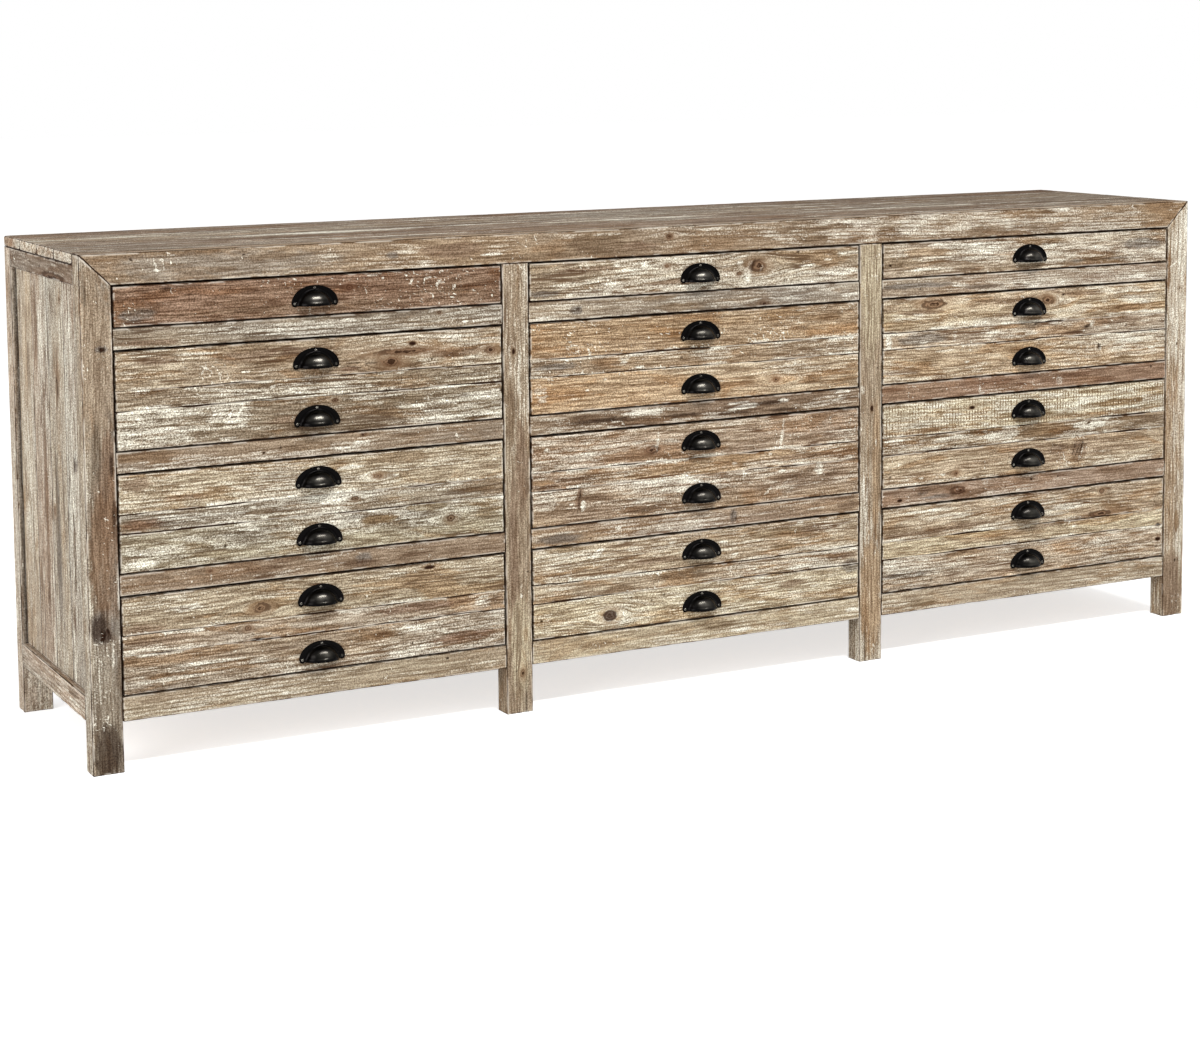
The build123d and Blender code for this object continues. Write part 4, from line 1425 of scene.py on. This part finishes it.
class OBJECT_OT_chest_drawer_boxes(bpy.types.Operator):
    """Finish the drawer boxes in plain pine"""

    bl_idname = "object.chest_drawer_boxes"
    bl_label = "Drawer boxes"

    def execute(self, context):
        material = material_once("plain_boxes", plain_pine, tone=settings("colours").plain)
        for column, row in itertools.product(COLUMNS, ROWS):
            dress_node(f"drawer_{column}_{row}_box", material)
        return {"FINISHED"}


class OBJECT_OT_chest_inside(bpy.types.Operator):
    """Finish the partitions, bottom sheets, runners, guides and stops inside the carcass"""

    bl_idname = "object.chest_inside"
    bl_label = "Inside"

    def execute(self, context):
        material = material_once("plain_inside", plain_pine, tone=settings("colours").sawn)
        for node in ("partitions", "bottom_sheets", "drawer_runners", "drawer_guides", "drawer_stops"):
            dress_node(node, material)
        return {"FINISHED"}


# Cup pulls

# Angles from the cup's nose back to its root, in degrees, close together at the lip's shoulder
FROM_NOSE = (0, 1.2, 3, 5.5, 8, 9.4, 10.8, 12.2, 13.6, 15, 18, 23, 29, 37, 45, 53, 61, 67, 72)
# Angles round the cup from an ear to its top, in degrees, close together at the ear
FROM_EAR = (0, 1.2, 2.6, 4.4, 7, 11, 16, 23, 31, 40, 50, 60, 70, 80)
EAR_FADE = math.radians(22)
FILLET_PARTS = (0.17, 0.34, 0.5, 0.67, 0.84, 1.0)
FILLET_TOP, FILLET_SIDE = 5.0 * MM, 7.5 * MM
RIM_BEVEL = 0.5 * MM
EAR_POINTS = 13
SHARP_ANGLE = math.radians(50)
# How bare each screw head is: wear and a painted glint
SCREW_WEAR_AND_GLINT = 0.5
SCREW_POINT = 3 * MM
SHANK_SIDES = 10
PULL_INPUTS = {
    "Pull": "Object",
    "Screw": "Object",
    "Metal": "Material",
    "Ear Distance": "Float",
    "Ear Height": "Float",
    "Top Height": "Float",
    "Flange": "Float",
    "Seed": "Int",
}


class CupPull:
    """The shape of a cup pull, its lowest point at Z 0 and its back on the plane Y 0."""

    def __init__(self, sizes, width, height, projection):
        self.sizes, self.half_width, self.height = sizes, width / 2, height
        self.half_cup, self.cup_out = sizes.cup_width / 2, projection - sizes.lip_swell
        self.hollow = [size - sizes.wall for size in (self.half_cup, self.cup_out, sizes.cup_height)]
        self.ear, self.ear_x = sizes.ear_radius, self.half_width - sizes.ear_radius
        mouth = sizes.mouth_lift
        start_x = self.ear_x - math.sqrt(self.ear**2 - (self.ear - mouth) ** 2)
        start = math.atan2(mouth - self.ear, start_x - self.ear_x)
        self.ear_angles = np.linspace(start, 0.0, EAR_POINTS)[1:]

    def sections(self):
        """Its loops from one ear to the other, each over its outside, round its rim and back inside."""
        around = np.radians(FROM_EAR)
        return [self.section(turn) for turn in (*around, math.pi / 2, *(math.pi - around[::-1]))]

    def section(self, turn):
        """The loop at one angle round the cup."""
        across, up = math.cos(turn), math.sin(turn)
        outer = [self.cup_point(angle, across, up) for angle in np.radians(FROM_NOSE)]
        outer += self.fillet(outer[-2], outer[-1], across, up)
        outer += self.plate(outer[-1], turn, across, up)
        rim = outer.pop()
        out_way = np.array([across / self.half_width, 0, up / (self.height - self.ear)])
        out_way /= np.linalg.norm(out_way)
        edge = [rim - out_way * RIM_BEVEL, rim + np.array([0, RIM_BEVEL, 0]),
                rim + np.array([0, self.sizes.flange, 0])]
        return outer + edge + self.inside(across, up)[::-1]

    def cup_point(self, angle, across, up):
        """A point of the cup's outside, with the rolled lip that swells out below its sloping shoulder."""
        sizes = self.sizes
        x, z = self.half_cup * math.sin(angle) * across, sizes.cup_height * math.sin(angle) * up
        y = self.cup_out * math.cos(angle)
        shoulder = min(1.0, max(0.0, (1 - z / sizes.lip_height) * sizes.lip_height / sizes.lip_slope))
        swell = 1 + sizes.lip_swell / self.half_cup * shoulder * (2 - shoulder)
        return np.array([x * swell, -y * swell, z + sizes.mouth_lift])

    def fillet(self, before, last, across, up):
        """A smooth curve from the cup's last point out onto the plate."""
        face = -self.sizes.flange
        way_down = last - before
        way_down = way_down * (0.6 * (face - last[1]) / way_down[1])
        root = FILLET_TOP + (FILLET_SIDE - FILLET_TOP) * across * across
        end = last + np.array([across * root, 0, up * root])
        end[1] = face
        before_end = end - np.array([across * root, 0, up * root]) * 0.5
        points = []
        for part in FILLET_PARTS:
            other = 1 - part
            points.append(other**3 * last + 3 * other**2 * part * (last + way_down)
                          + 3 * other * part**2 * before_end + part**3 * end)
        return points

    def plate(self, foot, turn, across, up):
        """Points over the plate to its outline, which bend into the ear's lower arc near the mouth."""
        face, mouth = -self.sizes.flange, self.sizes.mouth_lift
        edge_angle = math.atan2(up, across)
        tip = np.array([self.half_width * math.cos(edge_angle), face,
                        self.ear + (self.height - self.ear) * math.sin(edge_angle)])
        fade = max(0.0, 1 - min(turn, math.pi - turn) / EAR_FADE) ** 1.5
        way = 1 if across >= 0 else -1
        chord_start = np.array([way * abs(foot[0]), face, mouth])
        chord_end = np.array([way * self.half_width, face, self.ear])
        points = []
        for k, angle in enumerate(self.ear_angles):
            part = (k + 1) / len(self.ear_angles)
            chord = chord_start + (chord_end - chord_start) * part
            arc = np.array([way * (self.ear_x + self.ear * math.cos(angle)), face,
                            self.ear + self.ear * math.sin(angle)])
            points.append(foot + (tip - foot) * part + (arc - chord) * fade)
        return points

    def inside(self, across, up):
        """Points of the cup's hollow from its nose to the plate's back."""
        wide, out, tall = self.hollow
        mouth = self.sizes.mouth_lift
        points = []
        for angle in np.radians(FROM_NOSE):
            reach = math.sin(angle)
            points.append((wide * reach * across, -out * math.cos(angle), tall * reach * up + mouth))
        return points + [(wide * across, 0.0, tall * up + mouth)]


def bare_from_wear_and_highlight(place, sizes):
    """How bare the metal is at a point of a pull, from wear and painted highlight: most on the belly, a
    little on the lip's shoulder.
    """
    if place.y > -sizes.flange * 2:
        return 0.0
    up = place.z - sizes.mouth_lift
    shoulder = sizes.lip_height - sizes.lip_slope / 2
    belly = math.exp(-((place.x / 0.014) ** 2) - ((up - sizes.cup_height / 2) / 0.0048) ** 2)
    lip = math.exp(-((place.x / 0.015) ** 4) - ((up - shoulder) / 0.0014) ** 2)
    # The belly patch is a painted highlight and the lip's a painted line of light, both also read as wear
    return 0.48 * belly + 0.16 * lip


def strips(work, rows):
    """Faces between each row of vertices and the next."""
    for one, two in zip(rows[:-1], rows[1:]):
        for k in range(len(one) - 1):
            work.faces.new((one[k], one[k + 1], two[k + 1], two[k]))


def finished_mesh(name, work):
    """A mesh of the work, its faces turned outwards."""
    bmesh.ops.recalc_face_normals(work, faces=work.faces)
    mesh = bpy.data.meshes.new(name)
    work.to_mesh(mesh)
    work.free()
    return mesh


def shell_from_sections(name, sections):
    """A closed mesh from like loops side by side, with a strip across each end loop."""
    work = bmesh.new()
    rows = [[work.verts.new(p) for p in section] for section in sections]
    strips(work, rows)
    for row in (rows[0], rows[-1]):
        first, last = 0, len(row) - 1
        while last - first > 1:
            face = [row[first], row[first + 1], row[last - 1], row[last]]
            if first + 1 == last - 1:
                face = [row[first], row[first + 1], row[last]]
            work.faces.new(face)
            first += 1
            last -= 1
    bmesh.ops.remove_doubles(work, verts=work.verts, dist=1e-6)
    bmesh.ops.dissolve_degenerate(work, edges=work.edges, dist=1e-7)
    return finished_mesh(name, work)


def screw_head_rows(work, sizes):
    """The vertices of a domed head, a round grid that is close together at the edges of its slot."""
    radius, rise, half_slot = sizes.head_radius, sizes.head_height, sizes.slot_width / 2
    dome = (radius**2 + rise**2) / (2 * rise)
    lines = [-1, -0.92, -0.76, -0.55, -0.34, -half_slot / radius - 0.015, -half_slot / radius + 0.015]
    lines = np.array(lines + [-v for v in reversed(lines)])
    rows = []
    for v in lines:
        row = []
        for u in lines:
            x, z = u * math.sqrt(1 - v * v / 2) * radius, v * math.sqrt(1 - u * u / 2) * radius
            out = math.sqrt(max(0.0, dome**2 - x * x - z * z)) - (dome - rise)
            if abs(v) < half_slot / radius:
                out = min(out, max(rise - sizes.slot_depth, 0.0))
            row.append(work.verts.new((x, -max(out, 0.0), z)))
        rows.append(row)
    return rows


def screw_mesh(sizes):
    """A screw with a domed, slotted head on the plane Y 0 and its point along +Y."""
    work = bmesh.new()
    strips(work, screw_head_rows(work, sizes))
    levels = [(0.0, sizes.shank_radius), (sizes.screw_length - SCREW_POINT, sizes.shank_radius),
              (sizes.screw_length, 0.02 * MM)]
    rings = []
    for y, r in levels:
        rings.append([work.verts.new((r * math.cos(a), y, r * math.sin(a)))
                      for a in np.linspace(0, 2 * math.pi, SHANK_SIDES, endpoint=False)])
    for one, two in zip(rings[:-1], rings[1:]):
        for k in range(len(one)):
            work.faces.new((one[k - 1], one[k], two[k], two[k - 1]))
    work.faces.new(rings[-1])
    work.faces.new(rings[0])
    border = [e for e in work.edges if e.is_boundary]
    bmesh.ops.holes_fill(work, edges=border, sides=0)
    return finished_mesh("pull_screw", work)


def pulls_tree():
    """A Geometry Nodes tree that puts a pull and its three screws on each point of a mesh."""
    tree = bpy.data.node_groups.new("Pulls on points", "GeometryNodeTree")
    tree.interface.new_socket("Points", in_out="INPUT", socket_type="NodeSocketGeometry")
    for name, kind in PULL_INPUTS.items():
        tree.interface.new_socket(name, in_out="INPUT", socket_type="NodeSocket" + kind)
    tree.interface.new_socket("Pulls", in_out="OUTPUT", socket_type="NodeSocketGeometry")
    given = tree.nodes.new("NodeGroupInput").outputs

    def add(kind, inputs=(), **values):
        return filled(tree, tree.nodes.new(kind), inputs, values).outputs

    def joined(*parts):
        join = tree.nodes.new("GeometryNodeJoinGeometry")
        for part in parts:
            tree.links.new(part, join.inputs[0])
        return join.outputs[0]

    front = add("ShaderNodeMath", {0: given["Flange"], 1: -1.0}, operation="MULTIPLY")[0]
    left = add("ShaderNodeMath", {0: given["Ear Distance"], 1: -1.0}, operation="MULTIPLY")[0]
    places = []
    for x, z in ((left, given["Ear Height"]), (given["Ear Distance"], given["Ear Height"]),
                 (0.0, given["Top Height"])):
        at = add("ShaderNodeCombineXYZ", {0: x, 1: front, 2: z})[0]
        places.append(add("GeometryNodePoints", {"Count": 1, "Position": at})[0])
    turn = add("FunctionNodeRandomValue", {"Min": 0.0, "Max": math.pi, "Seed": given["Seed"]},
               data_type="FLOAT")["Value"]
    turned = add("ShaderNodeCombineXYZ", {1: turn})[0]
    screw = add("GeometryNodeObjectInfo", {"Object": given["Screw"]})["Geometry"]
    screws = add("GeometryNodeInstanceOnPoints", {"Points": joined(*places), "Instance": screw})[0]
    screws = add("GeometryNodeRotateInstances",
                 {"Instances": screws, "Rotation": turned, "Local Space": True})[0]
    pull = add("GeometryNodeObjectInfo", {"Object": given["Pull"]})["Geometry"]
    dressed = joined(pull, screws)
    placed = add("GeometryNodeInstanceOnPoints", {"Points": given["Points"], "Instance": dressed})[0]
    real = add("GeometryNodeRealizeInstances", {"Geometry": placed})[0]
    coloured = add("GeometryNodeSetMaterial", {"Geometry": real, "Material": given["Metal"]})[0]
    tree.links.new(coloured, tree.nodes.new("NodeGroupOutput").inputs[0])
    return tree


def placed_by_nodes(name, points, tree, values):
    """A plain mesh object made by a Geometry Nodes tree from points and the tree's named inputs."""
    mesh = bpy.data.meshes.new(name)
    mesh.from_pydata(points, [], [])
    piece = bpy.data.objects.new(name, mesh)
    bpy.context.scene.collection.objects.link(piece)
    modifier = piece.modifiers.new("Pulls", "NODES")
    modifier.node_group = tree
    for socket in tree.interface.items_tree:
        if socket.name in values and socket.in_out == "INPUT":
            modifier[socket.identifier] = values[socket.name]
    evaluated = piece.evaluated_get(bpy.context.evaluated_depsgraph_get())
    made = bpy.data.meshes.new_from_object(evaluated)
    piece.modifiers.clear()
    piece.data = made
    bpy.data.meshes.remove(mesh)
    return piece


def pull_patterns(sizes, width, height, projection):
    """One pull and one screw as objects, with the field that says where their metal is bare from wear and
    painted highlights.
    """
    cup = shell_from_sections("cup_pull", CupPull(sizes, width, height, projection).sections())
    screw = screw_mesh(sizes)
    rubbed = [bare_from_wear_and_highlight(vertex.co, sizes) for vertex in cup.vertices]
    patterns = []
    for mesh, wear_and_highlight in ((cup, rubbed), (screw, [SCREW_WEAR_AND_GLINT] * len(screw.vertices))):
        # The worn field: wear together with the painted highlight on the cup and the painted glint on the
        # screws
        mesh.attributes.new("worn", "FLOAT", "POINT").data.foreach_set("value", wear_and_highlight)
        mesh.shade_smooth()
        mesh.set_sharp_from_angle(angle=SHARP_ANGLE)
        patterns.append(bpy.data.objects.new(mesh.name, mesh))
    return patterns


class OBJECT_OT_chest_pulls(bpy.types.Operator):
    """Build the cup pulls and their screws on every drawer"""

    bl_idname = "object.chest_pulls"
    bl_label = "Cup pulls"

    def execute(self, context):
        sizes = settings("pulls")
        low, high = corners("drawer_left_top_pulls")
        front = corners("drawer_left_top_front")[0][Y]
        width, height = high[X] - low[X], high[Z] - low[Z]
        patterns = pull_patterns(sizes, width, height, front - low[Y])
        tree = pulls_tree()
        values = {
            "Pull": patterns[0],
            "Screw": patterns[1],
            "Metal": material_once("dark_pulls", dark_metal),
            "Ear Distance": width / 2 - sizes.ear_radius,
            "Ear Height": sizes.ear_radius,
            "Top Height": height - sizes.screw_drop,
            "Flange": sizes.flange,
            "Seed": sizes.seed,
        }
        for column, row in itertools.product(COLUMNS, ROWS):
            drawer = f"drawer_{column}_{row}"
            low, high = corners(drawer + "_pulls")
            middle = (low[X] + high[X]) / 2
            levels = [low[Z]] if row == "top" else [low[Z], high[Z] - height]
            points = [(middle, front, z) for z in levels]
            piece = placed_by_nodes(f"dressed_{drawer}_pulls", points, tree, values)
            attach(piece, drawer)
            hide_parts(drawer + "_pulls")
        for pattern in patterns:
            bpy.data.objects.remove(pattern)
        return {"FINISHED"}


# The stage

SENSOR_WIDTH_MM = 36.0
FARTHEST_SEEN = 200
CHEST_MIDDLE_HEIGHT = 0.45
KEY_PLACE, KEY_AIM = (0.4, -3.3, 4.6), (0.3, 0, CHEST_MIDDLE_HEIGHT)
FILL_PLACE, FILL_AIM = (-4.6, -1.9, 1.8), (-0.9, 0, CHEST_MIDDLE_HEIGHT)
KEY_SIZE, FILL_SIZE = (3.6, 0.5), (2.6, 2.4)


def level_square(name, side, material):
    """A flat square on the floor round the frame's origin."""
    half = side / 2
    mesh = bpy.data.meshes.new(name)
    points = [(-half, -half, 0), (half, -half, 0), (half, half, 0), (-half, half, 0)]
    mesh.from_pydata(points, [], [(0, 1, 2, 3)])
    mesh.materials.append(material)
    square = bpy.data.objects.new(name, mesh)
    bpy.context.scene.collection.objects.link(square)
    return square


def pale_room(sky):
    """A world that is white where it is seen or mirrored, and lights the chest evenly with strength sky."""
    world = bpy.data.worlds.new("pale_room")
    world.use_nodes = True
    tree = world.node_tree

    def add(kind, inputs=(), **values):
        return filled(tree, tree.nodes.new("ShaderNode" + kind), inputs, values).outputs

    path = add("LightPath")
    seen = add("Math", {0: path["Is Camera Ray"], 1: path["Is Glossy Ray"]}, operation="MAXIMUM")[0]
    seen = add("Math", {0: seen, 1: path["Is Transmission Ray"]}, operation="MAXIMUM")[0]
    level = add("MapRange", {"Value": seen, "To Min": sky})["Result"]
    filled(tree, tree.nodes["Background"], {"Color": (1, 1, 1, 1), "Strength": level}, {})
    return world


def aimed_lamp(name, place, target, size, power):
    """A soft white lamp that points at target."""
    lamp = bpy.data.lights.new(name, "AREA")
    lamp.shape, lamp.energy = "RECTANGLE", power
    lamp.size, lamp.size_y = size
    holder = bpy.data.objects.new(name, lamp)
    bpy.context.scene.collection.objects.link(holder)
    holder.location = place
    holder.rotation_euler = (Vector(target) - Vector(place)).to_track_quat("-Z", "Y").to_euler()


def camera_turn(yaw, pitch, roll):
    """The turn of a camera that looks along +Y when all three angles are 0."""
    ahead = Vector((math.sin(yaw) * math.cos(pitch), math.cos(yaw) * math.cos(pitch), math.sin(pitch)))
    right = Vector((math.cos(yaw), -math.sin(yaw), 0))
    up = right.cross(ahead)
    right, up = (right * math.cos(roll) + up * math.sin(roll), up * math.cos(roll) - right * math.sin(roll))
    return Matrix((right, up, -ahead)).transposed().to_4x4()


class OBJECT_OT_chest_stage(bpy.types.Operator):
    """Set up the floor, the lamps and the camera"""

    bl_idname = "object.chest_stage"
    bl_label = "Stage"

    def execute(self, context):
        stage = settings("stage")
        floor = level_square("floor", stage.floor_size, pale_surface("pale_floor", stage.floor_glow))
        context.scene.world = pale_room(stage.sky)
        aimed_lamp("key_lamp", KEY_PLACE, KEY_AIM, KEY_SIZE, stage.key)
        aimed_lamp("fill_lamp", FILL_PLACE, FILL_AIM, FILL_SIZE, stage.fill)

        camera = bpy.data.cameras.new("camera")
        camera.lens, camera.shift_y, camera.sensor_width = stage.lens, stage.shift, SENSOR_WIDTH_MM
        camera.clip_end = FARTHEST_SEEN
        holder = bpy.data.objects.new("camera", camera)
        context.scene.collection.objects.link(holder)
        turn = camera_turn(stage.yaw, stage.pitch, stage.roll)
        holder.matrix_world = Matrix.Translation(stage.camera_place) @ turn
        context.scene.camera = holder
        context.scene.view_settings.view_transform = "Standard"
        return {"FINISHED"}


OPERATORS = (
    OBJECT_OT_chest_face_frame,
    OBJECT_OT_chest_top,
    OBJECT_OT_chest_sides_and_back,
    OBJECT_OT_chest_inside,
    OBJECT_OT_chest_drawer_fronts,
    OBJECT_OT_chest_drawer_boxes,
    OBJECT_OT_chest_pulls,
    OBJECT_OT_chest_stage,
)
GROUPS = {
    "boards": ChestBoardSizes,
    "colours": ChestWoodColours,
    "pulls": ChestPullSizes,
    "stage": ChestStageSettings,
}


class VIEW3D_PT_chest(bpy.types.Panel):
    """The chest's sizes, colours and steps"""

    bl_idname = "VIEW3D_PT_chest"
    bl_label = "Apothecary chest"
    bl_space_type = "VIEW_3D"
    bl_region_type = "UI"
    bl_category = "Chest"

    def draw(self, context):
        for operator in OPERATORS:
            self.layout.operator(operator.bl_idname)
        for name, group in GROUPS.items():
            box = self.layout.box()
            box.label(text=group.__doc__)
            for key in group.__annotations__:
                box.prop(settings(name), key)


def register():
    for kind in (*GROUPS.values(), *OPERATORS, VIEW3D_PT_chest):
        bpy.utils.register_class(kind)
    for name, group in GROUPS.items():
        setattr(bpy.types.Scene, "chest_" + name, PointerProperty(type=group))


def unregister():
    for name in GROUPS:
        delattr(bpy.types.Scene, "chest_" + name)
    for kind in reversed((*GROUPS.values(), *OPERATORS, VIEW3D_PT_chest)):
        bpy.utils.unregister_class(kind)


def main():
    register()
    for operator in OPERATORS:
        family, name = operator.bl_idname.split(".")
        getattr(getattr(bpy.ops, family), name)()


if __name__ == "__main__":
    main()
